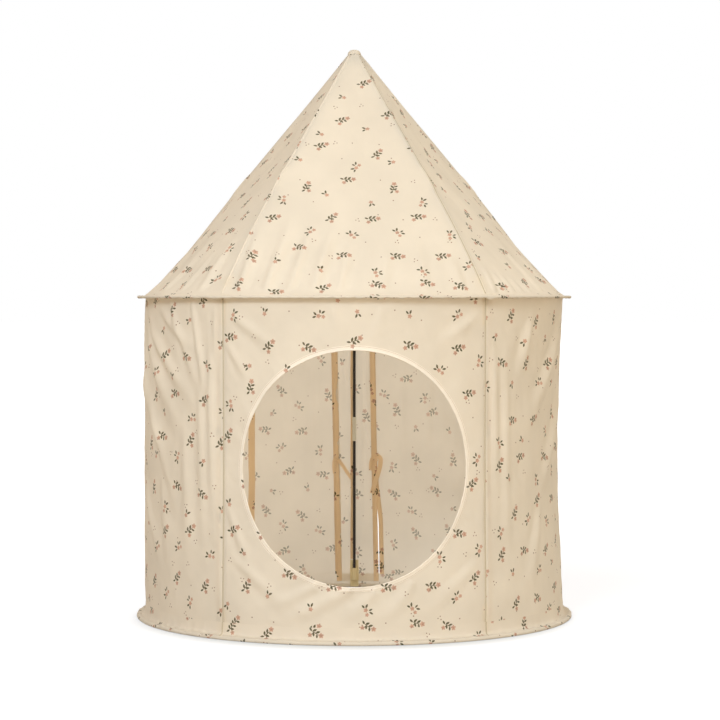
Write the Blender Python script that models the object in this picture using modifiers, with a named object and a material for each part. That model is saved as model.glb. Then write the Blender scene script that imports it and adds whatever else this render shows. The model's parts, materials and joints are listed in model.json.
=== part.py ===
# Pop-up play tent: a cloth drum with a round doorway, under a five-sided pointed roof.
# Two spring hoops hold the cloth round. Five poles hold the eave over the base, and five more hold the
# apex over the eave. A pole is two rods that meet in a ferrule, and folds there when the tent is put away.
# Metres, +Z up. The doorway faces -Y, and the origin is on the floor under the apex.

import math

import bmesh
import bpy
from mathutils import Matrix, Vector

# Overall sizes
WALL_RADIUS = 0.4785
EAVE_HEIGHT = 0.7315
TOTAL_HEIGHT = 1.300

# Cloth, and the gap left where two pieces meet
CLOTH = 0.001
GAP = 0.0005
SEAM_GAP = 0.0004

# Hoops and the casings that hold them, which stand out past the wall
BASE_FLANGE = 0.0215
BRIM_FLANGE = 0.0190
BASE_WIRE = 0.0025
EAVE_WIRE = 0.0020
HEM_HEIGHT = 0.034
HEM_FLAT = 0.0135
HOOP_PLAY = 0.0020
BRIM_THICKNESS = 0.007
HOOP_STEPS = 72

# Round doorway in the front panel
DOOR_RADIUS = 0.250
DOOR_HEIGHT = 0.370
DOOR_STEPS = 64
BINDING_WIDTH = 0.007
BINDING_LAYER = 0.0007
BINDING_EDGE = 0.0011
BINDING_PLAY = 0.0007

# Rear curtains, on either side of the strip behind the back pole
CURTAIN_HINGE = 148.7
STRIP_HALF_WIDTH = 0.047
CURTAIN_HEAD = 0.036
CURTAIN_FOOT = 0.0035

# Ribbon ties on the slits
TIE_HEIGHT = 0.352
TIE_WIDTH = 0.007
TIE_THICKNESS = 0.0024
TIE_STANDOFF = 0.0024

# Roof
TIP_RADIUS = 0.006
ROOF_BOW = 0.016
ROOF_FLAT_FROM = 1.0
ROOF_FLAT_TO = 0.76
ROOF_COLUMNS = 50
ROOF_ROWS = (0.0, 0.03, 0.10, 0.25, 0.40, 0.55, 0.67, 0.76, 0.83, 0.89, 0.94, 1.0)

# Poles, by the azimuth of the seam that each one stands at, from the front towards +X
POLES = {
    "front_left": -36.0,
    "front_right": 36.0,
    "side_left": -108.0,
    "side_right": 108.0,
    "back": 180.0,
}
SEAM_PITCH = 72.0
ROD_RADIUS = 0.0035
ROD_CHAMFER = 0.0008
FOLD_PLAY = 0.0005
PIVOT_INSET = 0.0035
FOOT_HEIGHT = 0.020
TOP_DROP = 0.0115
KNEE_GAP = 0.0006
FERRULE_PLAY = 0.0006
FERRULE_WALL = 0.0009
FERRULE_LENGTH = 0.060

# Roof poles, from the hub's pin down to the eave pocket
HUB_PIN_RADIUS = 0.020
ROOF_ROD_FOOT_RISE = 0.0185
ROOF_ROD_PLAY = 0.0025
ROOF_FERRULE_PLAY = 0.0022

# Webbing pockets
POCKET_LAYER = 0.0010
POCKET_CLEARANCE = 0.0005
POCKET_STANDOFF = 0.0008
POCKET_WIDTH = 0.022
POCKET_DEPTH = 0.028
POCKET_FLOOR = 0.003
TAPE = 0.0012
TAPE_RISE = 0.022
TAPE_FOOT = 0.002
LAP = 0.0003

# Apex hub
HUB_RADIUS = 0.022
HUB_TOP_RADIUS = 0.009
HUB_THICKNESS = 0.020
HUB_RISE = 0.008
HUB_PLAY = 0.0046
LUG_THICKNESS = 0.002
LUG_RADIUS = 0.0045
PIN_RADIUS = 0.001
PIN_PLAY = 0.0003

# Sizes that follow from those above
BASE_RADIUS = WALL_RADIUS + BASE_FLANGE
BRIM_RADIUS = WALL_RADIUS + BRIM_FLANGE
WALL_FOOT = HEM_HEIGHT + GAP
WALL_TOP = EAVE_HEIGHT + BRIM_THICKNESS / 2 + 2 * GAP
ROOF_FOOT = WALL_TOP + CLOTH + SEAM_GAP
FERRULE_BORE = ROD_RADIUS + FERRULE_PLAY
FERRULE_RADIUS = FERRULE_BORE + FERRULE_WALL
ROD_INSET = FERRULE_RADIUS + FOLD_PLAY
ROOF_SLOPE = math.atan2(TOTAL_HEIGHT - ROOF_FOOT, WALL_RADIUS - TIP_RADIUS)
ROOF_ROD_INSET = (FERRULE_RADIUS + ROOF_ROD_PLAY) / math.sin(ROOF_SLOPE)
PIVOT_RADIUS = WALL_RADIUS - PIVOT_INSET
ROD_AXIS_RADIUS = PIVOT_RADIUS - ROD_INSET
POLE_TOP = EAVE_HEIGHT - TOP_DROP
KNEE_HEIGHT = (FOOT_HEIGHT + POLE_TOP) / 2
STRIP_EDGE = 180.0 - math.degrees(STRIP_HALF_WIDTH / WALL_RADIUS)
POCKET_BACK = WALL_RADIUS - CLOTH - POCKET_STANDOFF - ROD_AXIS_RADIUS

# The hub sits as high in the peak as the flat gores let it
HUB_CORNER = (HUB_RADIUS + HUB_PLAY) / math.cos(math.radians(SEAM_PITCH / 2))
HUB_FALL = (HUB_CORNER - TIP_RADIUS) / (WALL_RADIUS - TIP_RADIUS)
HUB_SEAT = TOTAL_HEIGHT - HUB_FALL * (TOTAL_HEIGHT - ROOF_FOOT)

COLOURS = {
    "cotton": ((0.86, 0.76, 0.62), 0.85, 0.0),
    "binding": ((0.90, 0.82, 0.70), 0.80, 0.0),
    "webbing": ((0.50, 0.36, 0.17), 0.80, 0.0),
    "black_rod": ((0.012, 0.008, 0.007), 0.35, 0.0),
    "ferrule": ((0.42, 0.36, 0.27), 0.45, 0.3),
    "spring_steel": ((0.35, 0.35, 0.36), 0.40, 1.0),
    "hub_plastic": ((0.03, 0.03, 0.03), 0.50, 0.0),
}


# Scene, collections and materials
def clear_scene():
    for obj in list(bpy.data.objects):
        bpy.data.objects.remove(obj, do_unlink=True)


def new_collection(name):
    collection = bpy.data.collections.new(name)
    bpy.context.scene.collection.children.link(collection)
    return collection


def material(name):
    found = bpy.data.materials.get(name)
    if found:
        return found
    colour, roughness, metallic = COLOURS[name]
    made = bpy.data.materials.new(name)
    made.use_nodes = True
    shader = made.node_tree.nodes["Principled BSDF"]
    shader.inputs["Base Color"].default_value = (*colour, 1.0)
    shader.inputs["Roughness"].default_value = roughness
    shader.inputs["Metallic"].default_value = metallic
    made.diffuse_color = (*colour, 1.0)
    return made


def add(name, mesh, finish, collection=None):
    obj = bpy.data.objects.new(name, mesh)
    (collection or tent).objects.link(obj)
    if not mesh.materials:
        mesh.materials.append(material(finish))
    return obj


def cutter(name, mesh):
    obj = bpy.data.objects.new(name, mesh)
    cutters.objects.link(obj)
    obj.hide_render = True
    obj.display_type = "WIRE"
    return obj


def boolean(obj, other, operation):
    cut = obj.modifiers.new(operation.title(), "BOOLEAN")
    cut.operation = operation
    cut.object = other
    cut.use_self = operation == "UNION"
    return cut


def baked(obj):
    """The mesh that an object's modifiers make, with the object removed."""
    bpy.context.view_layer.update()
    graph = bpy.context.evaluated_depsgraph_get()
    mesh = bpy.data.meshes.new_from_object(obj.evaluated_get(graph))
    bm = bmesh.new()
    bm.from_mesh(mesh)
    bmesh.ops.remove_doubles(bm, verts=bm.verts, dist=1e-6)
    bm.to_mesh(mesh)
    bm.free()
    bpy.data.objects.remove(obj, do_unlink=True)
    return mesh


def smooth(mesh, angle=math.radians(35)):
    mesh.shade_smooth()
    mesh.set_sharp_from_angle(angle=angle)


# Places round the tent
def outward(azimuth):
    turn = math.radians(azimuth)
    return Vector((math.sin(turn), -math.cos(turn), 0.0))


def place(azimuth, radius, height):
    return outward(azimuth) * radius + Vector((0.0, 0.0, height))


def facing(azimuth):
    """Turns local +X outwards at this azimuth."""
    return Matrix.Rotation(math.radians(azimuth - 90.0), 4, "Z")


def stand(obj, azimuth, radius=0.0, height=0.0):
    obj.location = place(azimuth, radius, height)
    obj.rotation_euler = facing(azimuth).to_euler()
    return obj


def pivot(name, azimuth, radius, height, parent=None):
    """An empty on a joint's axis, which carries the pieces that turn there."""
    empty = bpy.data.objects.new(name, None)
    empty.empty_display_size = 0.03
    tent.objects.link(empty)
    stand(empty, azimuth, radius, height)
    return carried(empty, parent)


def carried(obj, parent):
    if parent is not None:
        bpy.context.view_layer.update()
        obj.parent = parent
        obj.matrix_parent_inverse = parent.matrix_world.inverted()
    return obj


# Shapes
def turned(name, profile, steps, closed=False):
    """A profile of (radius, height) points turned round Z. It runs down the outer side."""
    mesh = bpy.data.meshes.new(name)
    points = [(radius, 0.0, height) for radius, height in profile]
    edges = [(i, i + 1) for i in range(len(points) - 1)]
    if closed:
        edges.append((len(points) - 1, 0))
    mesh.from_pydata(points, edges, [])
    obj = bpy.data.objects.new(name, mesh)
    tent.objects.link(obj)
    screw = obj.modifiers.new("Screw", "SCREW")
    screw.axis = "Z"
    screw.steps = screw.render_steps = steps
    screw.use_merge_vertices = True
    screw.merge_threshold = 1e-5
    made = baked(obj)
    made.name = name
    smooth(made)
    return made


def prism(name, outline, depth, matrix=None):
    """A flat outline of (x, y) points, counterclockwise, raised by depth along Z."""
    bm = bmesh.new()
    face = bm.faces.new([bm.verts.new((x, y, 0.0)) for x, y in outline])
    raised = bmesh.ops.extrude_face_region(bm, geom=[face])
    top = [item for item in raised["geom"] if isinstance(item, bmesh.types.BMVert)]
    bmesh.ops.translate(bm, vec=(0.0, 0.0, depth), verts=top)
    bmesh.ops.recalc_face_normals(bm, faces=bm.faces)
    if matrix is not None:
        bmesh.ops.transform(bm, matrix=matrix, verts=bm.verts)
    mesh = bpy.data.meshes.new(name)
    bm.to_mesh(mesh)
    bm.free()
    return mesh


def cylinder(name, radius, depth, matrix, segments=16):
    """A cylinder along local Z, from 0 to depth."""
    bm = bmesh.new()
    shift = matrix @ Matrix.Translation((0.0, 0.0, depth / 2))
    bmesh.ops.create_cone(
        bm, cap_ends=True, segments=segments, radius1=radius, radius2=radius, depth=depth, matrix=shift
    )
    mesh = bpy.data.meshes.new(name)
    bm.to_mesh(mesh)
    bm.free()
    return mesh


def joined(name, meshes):
    """Several closed meshes in one, for a Boolean to join or to cut with."""
    bm = bmesh.new()
    for mesh in meshes:
        bm.from_mesh(mesh)
    made = bpy.data.meshes.new(name)
    bm.to_mesh(made)
    bm.free()
    return made


def tube(name, points, radius):
    """A rod along the points, with its end edges broken."""
    curve = bpy.data.curves.new(name, "CURVE")
    curve.dimensions = "3D"
    curve.bevel_depth = radius
    curve.bevel_resolution = 3
    curve.use_fill_caps = True
    first, second = points[0], points[1]
    last, before = points[-1], points[-2]
    start = first + (second - first).normalized() * ROD_CHAMFER
    end = last + (before - last).normalized() * ROD_CHAMFER
    path = [first, start, *points[1:-1], end, last]
    spline = curve.splines.new("POLY")
    spline.points.add(len(path) - 1)
    for spot, point in zip(spline.points, path):
        spot.co = (*point, 1.0)
    for spot in (spline.points[0], spline.points[-1]):
        spot.radius = 1 - ROD_CHAMFER / radius
    obj = bpy.data.objects.new(name, curve)
    tent.objects.link(obj)
    mesh = baked(obj)
    smooth(mesh)
    return mesh


def sheet(name, start, end, low, high, step=4.5, finish="cotton"):
    """Wall cloth between two azimuths, its outer face on the wall's radius."""
    count = max(1, math.ceil((end - start) / step - 1e-6))
    bm = bmesh.new()
    azimuths = [start + (end - start) * i / count for i in range(count + 1)]
    feet = [bm.verts.new(place(azimuth, WALL_RADIUS, low)) for azimuth in azimuths]
    edges = [bm.edges.new(pair) for pair in zip(feet, feet[1:])]
    risen = bmesh.ops.extrude_edge_only(bm, edges=edges)
    heads = [item for item in risen["geom"] if isinstance(item, bmesh.types.BMVert)]
    bmesh.ops.translate(bm, vec=(0.0, 0.0, high - low), verts=heads)
    for face in bm.faces:
        face.normal_update()
        if face.normal.dot(face.calc_center_median()) < 0:
            face.normal_flip()
    mesh = bpy.data.meshes.new(name)
    bm.to_mesh(mesh)
    bm.free()
    mesh.shade_smooth()
    obj = add(name, mesh, finish)
    thicken = obj.modifiers.new("Cloth", "SOLIDIFY")
    thicken.thickness = CLOTH
    thicken.offset = -1.0
    return obj


def seam_turn(radius=WALL_RADIUS):
    """Half of the gap at a seam, in degrees."""
    return math.degrees(SEAM_GAP / 2 / radius)


# Base and eave rings
def ring_wire(name, radius, height, wire):
    sides = 8
    turns = [-2 * math.pi * i / sides for i in range(sides)]
    profile = [(radius + wire * math.cos(t), height + wire * math.sin(t)) for t in turns]
    return add(name, turned(name, profile, HOOP_STEPS, closed=True), "spring_steel")


def base_ring():
    outer = BASE_RADIUS
    low = HEM_HEIGHT
    wire_radius = outer - CLOTH - HOOP_PLAY - BASE_WIRE
    wire_height = CLOTH + GAP + BASE_WIRE
    over = wire_height + BASE_WIRE + GAP
    profile = [
        (WALL_RADIUS + GAP, low),
        (WALL_RADIUS + 0.003, low * 0.70),
        (WALL_RADIUS + 0.0095, low * 0.38),
        (outer - 0.0035, over + CLOTH + 0.0006),
        (outer - 0.0004, wire_height + 0.0008),
        (outer, 0.0015),
        (outer - 0.0010, 0.0),
        (outer - HEM_FLAT, 0.0),
        (outer - HEM_FLAT, CLOTH),
        (outer - 0.0018, CLOTH),
        (outer - 0.0013, wire_height),
        (outer - 0.0040, over + 0.0002),
        (WALL_RADIUS + 0.0090, low * 0.38 - CLOTH),
        (WALL_RADIUS + 0.0020, low * 0.69),
        (WALL_RADIUS - CLOTH + GAP, low),
    ]
    add("base_hem", turned("base_hem", profile, HOOP_STEPS, closed=True), "cotton")
    ring_wire("base_hoop", wire_radius, wire_height, BASE_WIRE)


def eave_ring(parent):
    half = BRIM_THICKNESS / 2
    inner = WALL_RADIUS + GAP + 0.0002
    bend = BRIM_RADIUS - half + 0.0005
    profile = [
        (inner, EAVE_HEIGHT + half),
        (bend, EAVE_HEIGHT + half),
        (BRIM_RADIUS - 0.0008, EAVE_HEIGHT + half * 0.6),
        (BRIM_RADIUS, EAVE_HEIGHT),
        (BRIM_RADIUS - 0.0008, EAVE_HEIGHT - half * 0.6),
        (bend, EAVE_HEIGHT - half),
        (inner, EAVE_HEIGHT - half),
        (inner, EAVE_HEIGHT - half + CLOTH),
        (bend - 0.0005, EAVE_HEIGHT - half + CLOTH),
        (BRIM_RADIUS - 0.0012, EAVE_HEIGHT),
        (bend - 0.0005, EAVE_HEIGHT + half - CLOTH),
        (inner, EAVE_HEIGHT + half - CLOTH),
    ]
    carried(add("eave_brim", turned("eave_brim", profile, HOOP_STEPS, closed=True), "cotton"), parent)
    wire_radius = BRIM_RADIUS - 0.0025 - EAVE_WIRE
    carried(ring_wire("eave_hoop", wire_radius, EAVE_HEIGHT, EAVE_WIRE), parent)


# Wall cloth
def door_point(turn, spread, raise_by=0.0):
    """A point on the doorway's edge, spread outwards in the cloth and raised off its middle."""
    along = (DOOR_RADIUS + spread) * math.cos(turn)
    height = DOOR_HEIGHT + (DOOR_RADIUS + spread) * math.sin(turn)
    middle = WALL_RADIUS - CLOTH / 2
    return place(math.degrees(along / middle), middle + raise_by, height)


def front_panel():
    half = SEAM_PITCH / 2 - seam_turn()
    panel = sheet("front_panel", -half, half, WALL_FOOT, WALL_TOP, step=2.25)
    turns = [2 * math.pi * i / DOOR_STEPS for i in range(DOOR_STEPS)]
    edge = [door_point(t, BINDING_EDGE + BINDING_PLAY) for t in turns]
    # local X, Y and Z of the cutter are the tent's X, Z and -Y
    outline = [(p.x, p.z) for p in edge]
    lay = Matrix.Rotation(math.radians(90), 4, "X")
    depth = WALL_RADIUS
    mesh = prism("doorway", outline, depth, Matrix.Translation((0, -WALL_RADIUS / 2, 0)) @ lay)
    boolean(panel, cutter("doorway", mesh), "DIFFERENCE")


def door_binding():
    """Bias tape folded over the doorway's edge, as a channel that the cloth stands in."""
    near = CLOTH / 2 + SEAM_GAP
    far = near + BINDING_LAYER
    section = [
        (0.0, -far),
        (BINDING_WIDTH, -far),
        (BINDING_WIDTH, -near),
        (BINDING_EDGE, -near),
        (BINDING_EDGE, near),
        (BINDING_WIDTH, near),
        (BINDING_WIDTH, far),
        (0.0, far),
    ]
    bm = bmesh.new()
    rings = []
    for i in range(DOOR_STEPS):
        turn = 2 * math.pi * i / DOOR_STEPS
        rings.append([bm.verts.new(door_point(turn, spread, up)) for spread, up in section])
    for ring, following in zip(rings, rings[1:] + rings[:1]):
        for i in range(len(section)):
            j = (i + 1) % len(section)
            bm.faces.new((ring[i], ring[j], following[j], following[i]))
    bmesh.ops.recalc_face_normals(bm, faces=bm.faces)
    mesh = bpy.data.meshes.new("door_binding")
    bm.to_mesh(mesh)
    bm.free()
    smooth(mesh, math.radians(50))
    add("door_binding", mesh, "binding")


def wall_cloth():
    front_panel()
    door_binding()
    turn = seam_turn()
    for side, sign in (("left", -1), ("right", 1)):
        near, far = SEAM_PITCH / 2, SEAM_PITCH * 1.5
        span = sorted((sign * (near + turn), sign * (far - turn)))
        sheet(f"side_panel_{side}", *span, WALL_FOOT, WALL_TOP)
        span = sorted((sign * (far + turn), sign * (STRIP_EDGE - turn)))
        panel = sheet(f"rear_panel_{side}", *span, WALL_FOOT, WALL_TOP)
        boolean(panel, curtain_cutter(side, sign), "DIFFERENCE")
        curtain(side, sign)
    sheet("rear_strip", STRIP_EDGE + turn, 360.0 - STRIP_EDGE - turn, WALL_FOOT, WALL_TOP)


def curtain_cutter(side, sign):
    """The gap in the rear panel that the curtain hangs in: a wedge from the hinge to past the strip."""
    reach = 2 * WALL_RADIUS
    rim = [place(sign * azimuth, reach, 0.0) for azimuth in (CURTAIN_HINGE, STRIP_EDGE + 3.0)]
    outline = [(0.0, 0.0), *((p.x, p.y) for p in rim)]
    if sign < 0:
        outline = [outline[0], outline[2], outline[1]]
    lift = Matrix.Translation((0.0, 0.0, -HEM_HEIGHT))
    head = WALL_TOP - CURTAIN_HEAD + HEM_HEIGHT
    return cutter(f"curtain_gap_{side}", prism("curtain_gap", outline, head, lift))


def curtain(side, sign):
    """A rear curtain, hung on its outer edge and free at the slit."""
    turn = 2 * seam_turn()
    span = sorted((sign * (CURTAIN_HINGE + turn), sign * (STRIP_EDGE - turn)))
    low, high = WALL_FOOT + CURTAIN_FOOT, WALL_TOP - CURTAIN_HEAD - GAP
    leaf = sheet(f"curtain_{side}", *span, low, high, step=3.0)
    hinge = pivot(f"curtain_hinge_{side}", sign * CURTAIN_HINGE, WALL_RADIUS + GAP, low)
    carried(leaf, hinge)
    ribbon_ties(side, sign, hinge)


def ribbon_ties(side, sign, hinge):
    """A knotted ribbon on the curtain, and its other end on the strip, at the middle of the slit."""
    seat = WALL_RADIUS - CLOTH - TIE_STANDOFF - TIE_THICKNESS
    half = TIE_WIDTH / 2
    knot = [
        (half, -0.005), (0.0155, -0.0055), (0.0175, -0.018), (0.0140, -0.056), (0.0205, -0.058),
        (0.0245, -0.016), (0.0240, -0.001), (0.0225, 0.006), (0.0120, 0.0075), (half, 0.005),
    ]
    tail = [
        (-0.0015, -0.0035), (-0.0165, -0.016), (-0.0300, -0.050), (-0.0365, -0.047),
        (-0.0235, -0.013), (-0.0220, 0.001), (-0.0015, 0.004),
    ]
    for name, outline, parent in ((f"curtain_tie_{side}", knot, hinge), (f"strip_tie_{side}", tail, None)):
        # local X runs along the wall away from the back pole, local Y is up and local Z outwards
        points = [(-sign * x, y) for x, y in outline]
        if sign > 0:
            points.reverse()
        upright = Matrix.Rotation(math.radians(90), 4, "Z") @ Matrix.Rotation(math.radians(90), 4, "X")
        mesh = prism(name, points, TIE_THICKNESS, upright)
        tie = stand(add(name, mesh, "cotton"), sign * STRIP_EDGE, seat, TIE_HEIGHT)
        carried(tie, parent)


# Roof cloth
def seam_radius(height):
    """The roof's outside radius at a seam, which bows out most at two thirds of the way down."""
    fall = (TOTAL_HEIGHT - height) / (TOTAL_HEIGHT - ROOF_FOOT)
    return TIP_RADIUS + (WALL_RADIUS - TIP_RADIUS) * fall + ROOF_BOW * 27 / 4 * fall * fall * (1 - fall)


def gore_radius(fall, azimuth):
    """The roof is round at the eave, and flat between its seams above."""
    seam = seam_radius(TOTAL_HEIGHT - fall * (TOTAL_HEIGHT - ROOF_FOOT))
    half = SEAM_PITCH / 2
    off_middle = abs((azimuth % SEAM_PITCH + half) % SEAM_PITCH - half)
    flat = seam * math.cos(math.radians(half)) / math.cos(math.radians(off_middle))
    share = min(1.0, max(0.0, (ROOF_FLAT_FROM - fall) / (ROOF_FLAT_FROM - ROOF_FLAT_TO)))
    share = share * share * (3 - 2 * share)
    return seam + (flat - seam) * share


def roof_canopy(parent):
    columns = ROOF_COLUMNS
    bm = bmesh.new()
    rings = []
    for fall in ROOF_ROWS:
        height = TOTAL_HEIGHT - fall * (TOTAL_HEIGHT - ROOF_FOOT)
        azimuths = [360.0 * i / columns + SEAM_PITCH / 2 for i in range(columns)]
        rings.append([bm.verts.new(place(a, gore_radius(fall, a), height)) for a in azimuths])
    bm.faces.new(rings[0])
    for ring, following in zip(rings, rings[1:]):
        for i in range(columns):
            j = (i + 1) % columns
            bm.faces.new((ring[i], following[i], following[j], ring[j]))
    bmesh.ops.recalc_face_normals(bm, faces=bm.faces)
    mesh = bpy.data.meshes.new("roof_canopy")
    bm.to_mesh(mesh)
    bm.free()
    smooth(mesh)
    canopy = add("roof_canopy", mesh, "cotton")
    thicken = canopy.modifiers.new("Cloth", "SOLIDIFY")
    thicken.thickness = CLOTH
    thicken.offset = -1.0
    carried(canopy, parent)


# Poles
def rod_mesh(name, length):
    edge = ROD_RADIUS - ROD_CHAMFER
    profile = [
        (0.0, length), (edge, length), (ROD_RADIUS, length - ROD_CHAMFER),
        (ROD_RADIUS, ROD_CHAMFER), (edge, 0.0), (0.0, 0.0),
    ]
    return turned(name, profile, 12)


def ferrule_mesh():
    lip = 0.0005
    profile = [
        (FERRULE_BORE, FERRULE_LENGTH), (FERRULE_RADIUS - lip, FERRULE_LENGTH),
        (FERRULE_RADIUS, FERRULE_LENGTH - lip), (FERRULE_RADIUS, lip),
        (FERRULE_RADIUS - lip, 0.0), (FERRULE_BORE, 0.0),
    ]
    return turned("ferrule", profile, 12, closed=True)


def wall_pole(where, azimuth, rod, ferrule):
    """Two equal rods on pivots outside their centreline, so that they fold flat against each other."""
    foot = pivot(f"foot_pivot_{where}", azimuth, PIVOT_RADIUS, FOOT_HEIGHT)
    knee = pivot(f"knee_pivot_{where}", azimuth, PIVOT_RADIUS, KNEE_HEIGHT, foot)
    lower = add(f"wall_rod_lower_{where}", rod, "black_rod")
    carried(stand(lower, azimuth, ROD_AXIS_RADIUS, FOOT_HEIGHT), foot)
    upper = add(f"wall_rod_upper_{where}", rod, "black_rod")
    carried(stand(upper, azimuth, ROD_AXIS_RADIUS, KNEE_HEIGHT + KNEE_GAP / 2), knee)
    # the back pole is the same pole turned end for end
    flipped = where == "back"
    start = KNEE_HEIGHT + KNEE_GAP / 2 if flipped else KNEE_HEIGHT - KNEE_GAP / 2 - FERRULE_LENGTH
    sleeve = add(f"wall_ferrule_{where}", ferrule, "ferrule")
    carried(stand(sleeve, azimuth, ROD_AXIS_RADIUS, start), knee if flipped else foot)
    return knee


def roof_line():
    """The roof rods' centreline as (radius, height): its ends, and its outward normal."""
    start = Vector((HUB_PIN_RADIUS, 0.0, HUB_SEAT - HUB_RISE))
    foot_height = EAVE_HEIGHT + ROOF_ROD_FOOT_RISE
    end = Vector((seam_radius(foot_height) - ROOF_ROD_INSET, 0.0, foot_height))
    along = (end - start).normalized()
    return start, end, Vector((-along.z, 0.0, along.x))


def rod_bow():
    """How far the rods bow out at their middle, where the ferrule lies just under the seam."""
    start, end, normal = roof_line()
    point = (start + end) / 2
    reach = 0.0
    for _ in range(20):
        # steps out along the normal until it meets the cloth at the seam
        step = (seam_radius(point.z) - point.x) * normal.x
        point += normal * step
        reach += step
    return reach - FERRULE_RADIUS - ROOF_FERRULE_PLAY


def roof_point(share):
    start, end, normal = roof_line()
    return start + (end - start) * share + normal * (rod_bow() * 4 * share * (1 - share))


def roof_rods():
    """The meshes of the two rods and of the ferrule's place, in the plane of local X and Z."""
    start, end, _ = roof_line()
    length = (end - start).length
    half_gap = KNEE_GAP / 2 / length
    stub = start - (roof_point(0.1) - start).normalized() * (LUG_RADIUS - 0.0005)
    shares = [(0.5 - half_gap) * i / 6 for i in range(1, 7)]
    upper = tube("roof_rod_upper", [stub, *(roof_point(share) for share in shares)], ROD_RADIUS)
    shares = [0.5 + half_gap + (0.5 - half_gap) * i / 6 for i in range(7)]
    lower = tube("roof_rod_lower", [roof_point(share) for share in shares], ROD_RADIUS)
    rod = bpy.data.objects.new("roof_rod_upper", upper)
    tent.objects.link(rod)
    beside = Matrix.Translation(start + Vector((0.0, ROD_RADIUS * 2, 0.0)))
    across = beside @ Matrix.Rotation(math.radians(90), 4, "X")
    eye = cutter("rod_eye", cylinder("rod_eye", PIN_RADIUS + PIN_PLAY, ROD_RADIUS * 4, across, segments=10))
    boolean(rod, eye, "DIFFERENCE")
    upper = baked(rod)
    smooth(upper)
    return upper, lower, half_gap, length


def roof_pole(where, azimuth, rods, ferrule, hub):
    upper_mesh, lower_mesh, half_gap, length = rods
    start, _, normal = roof_line()
    knee = roof_point(0.5) - normal * ROD_INSET
    swing = pivot(f"hub_pivot_{where}", azimuth, start.x, start.z, hub)
    fold = pivot(f"roof_knee_pivot_{where}", azimuth, knee.x, knee.z, swing)
    carried(stand(add(f"roof_rod_upper_{where}", upper_mesh, "black_rod"), azimuth), swing)
    carried(stand(add(f"roof_rod_lower_{where}", lower_mesh, "black_rod"), azimuth), fold)
    top = roof_point(0.5 + half_gap)
    base = roof_point(0.5 + half_gap + FERRULE_LENGTH / length)
    sleeve = add(f"roof_ferrule_{where}", ferrule, "ferrule")
    aim = (top - base).normalized()
    lean = math.atan2(aim.x, aim.z)
    sleeve.location = facing(azimuth) @ (top - aim * FERRULE_LENGTH)
    sleeve.rotation_euler = (facing(azimuth) @ Matrix.Rotation(lean, 4, "Y")).to_euler()
    carried(sleeve, fold)


# Webbing pockets
def pocket_outline(back):
    """A tape folded round the rod: flat at the back, round in front. The rod's axis is at (0, 0)."""
    front = ROD_RADIUS + POCKET_CLEARANCE + POCKET_LAYER
    half = POCKET_WIDTH / 2
    turns = [math.radians(90 + 180 * i / 8) for i in range(9)]
    bulge = [(front * math.cos(t), front * math.sin(t)) for t in turns]
    return [(back, half), (back - TAPE, half), *bulge, (back - TAPE, -half), (back, -half)]


def tape_outline(back, laps=2):
    """A layer of tape, inside the edges of the one that it joins so that the two join cleanly."""
    half = POCKET_WIDTH / 2 - laps * LAP
    return [(back, half), (back - TAPE, half), (back - TAPE, -half), (back, -half)]


def foot_pocket():
    """Local X is outwards and the rod's foot stands at the origin."""
    low = Matrix.Translation((0.0, 0.0, -POCKET_FLOOR))
    body = prism("foot_pocket", pocket_outline(POCKET_BACK), POCKET_DEPTH + POCKET_FLOOR, low)
    drop = FOOT_HEIGHT - TAPE_FOOT
    height = drop + POCKET_DEPTH + TAPE_RISE
    tape = prism("tape", tape_outline(POCKET_BACK - LAP), height, Matrix.Translation((0.0, 0.0, -drop)))
    return pocket_solid("foot_pocket", body, [tape], [Matrix.Translation((0.0, 0.0, -GAP))])


def pocket_solid(name, body, more, bores):
    """Joins the layers, then opens each bore along its own local Z."""
    obj = bpy.data.objects.new(name, body)
    tent.objects.link(obj)
    for number, mesh in enumerate(more):
        boolean(obj, cutter(f"{name}_layer_{number}", mesh), "UNION")
    for number, matrix in enumerate(bores):
        bore = cylinder("bore", ROD_RADIUS + POCKET_CLEARANCE, 0.2, matrix, segments=12)
        boolean(obj, cutter(f"{name}_bore_{number}", bore), "DIFFERENCE")
    mesh = baked(obj)
    mesh.name = name
    smooth(mesh)
    return mesh


def eave_pocket():
    """One tape folded at the eave: a pocket hangs for the wall pole, another stands for the roof pole."""
    upside_down = Matrix.Rotation(math.radians(180), 4, "X")
    hang = Matrix.Translation((ROD_AXIS_RADIUS, 0.0, POLE_TOP)) @ upside_down
    low = Matrix.Translation((0.0, 0.0, -POCKET_FLOOR))
    body = prism("eave_pocket", pocket_outline(POCKET_BACK), POCKET_DEPTH + POCKET_FLOOR, hang @ low)
    tape = prism("tape", tape_outline(POCKET_BACK - LAP), POCKET_DEPTH + TAPE_RISE, hang)
    foot = roof_point(1.0)
    along = (roof_point(0.97) - foot).normalized()
    lean = math.atan2(along.x, along.z)
    rise = Matrix.Translation(foot) @ Matrix.Rotation(lean, 4, "Y")
    roof_back = ROD_RADIUS + POCKET_CLEARANCE + POCKET_LAYER
    upper = prism("upper", pocket_outline(roof_back), POCKET_DEPTH + POCKET_FLOOR, rise @ low)
    # the tape's bend, from the top of one pocket to the foot of the other
    start = Vector((ROD_AXIS_RADIUS + POCKET_BACK - TAPE, 0.0, POLE_TOP))
    end = rise @ Vector((roof_back - TAPE, 0.0, 0.003))
    span = end - start
    bend_lean = math.atan2(span.x, span.z)
    bend_place = Matrix.Translation(start) @ Matrix.Rotation(bend_lean, 4, "Y")
    bend = prism("bend", tape_outline(TAPE / 2, laps=4), span.length, bend_place)
    bores = [hang @ Matrix.Translation((0.0, 0.0, -GAP)), rise @ Matrix.Translation((0.0, 0.0, -GAP))]
    return pocket_solid("eave_pocket", body, [tape, upper, bend], bores)


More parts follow.
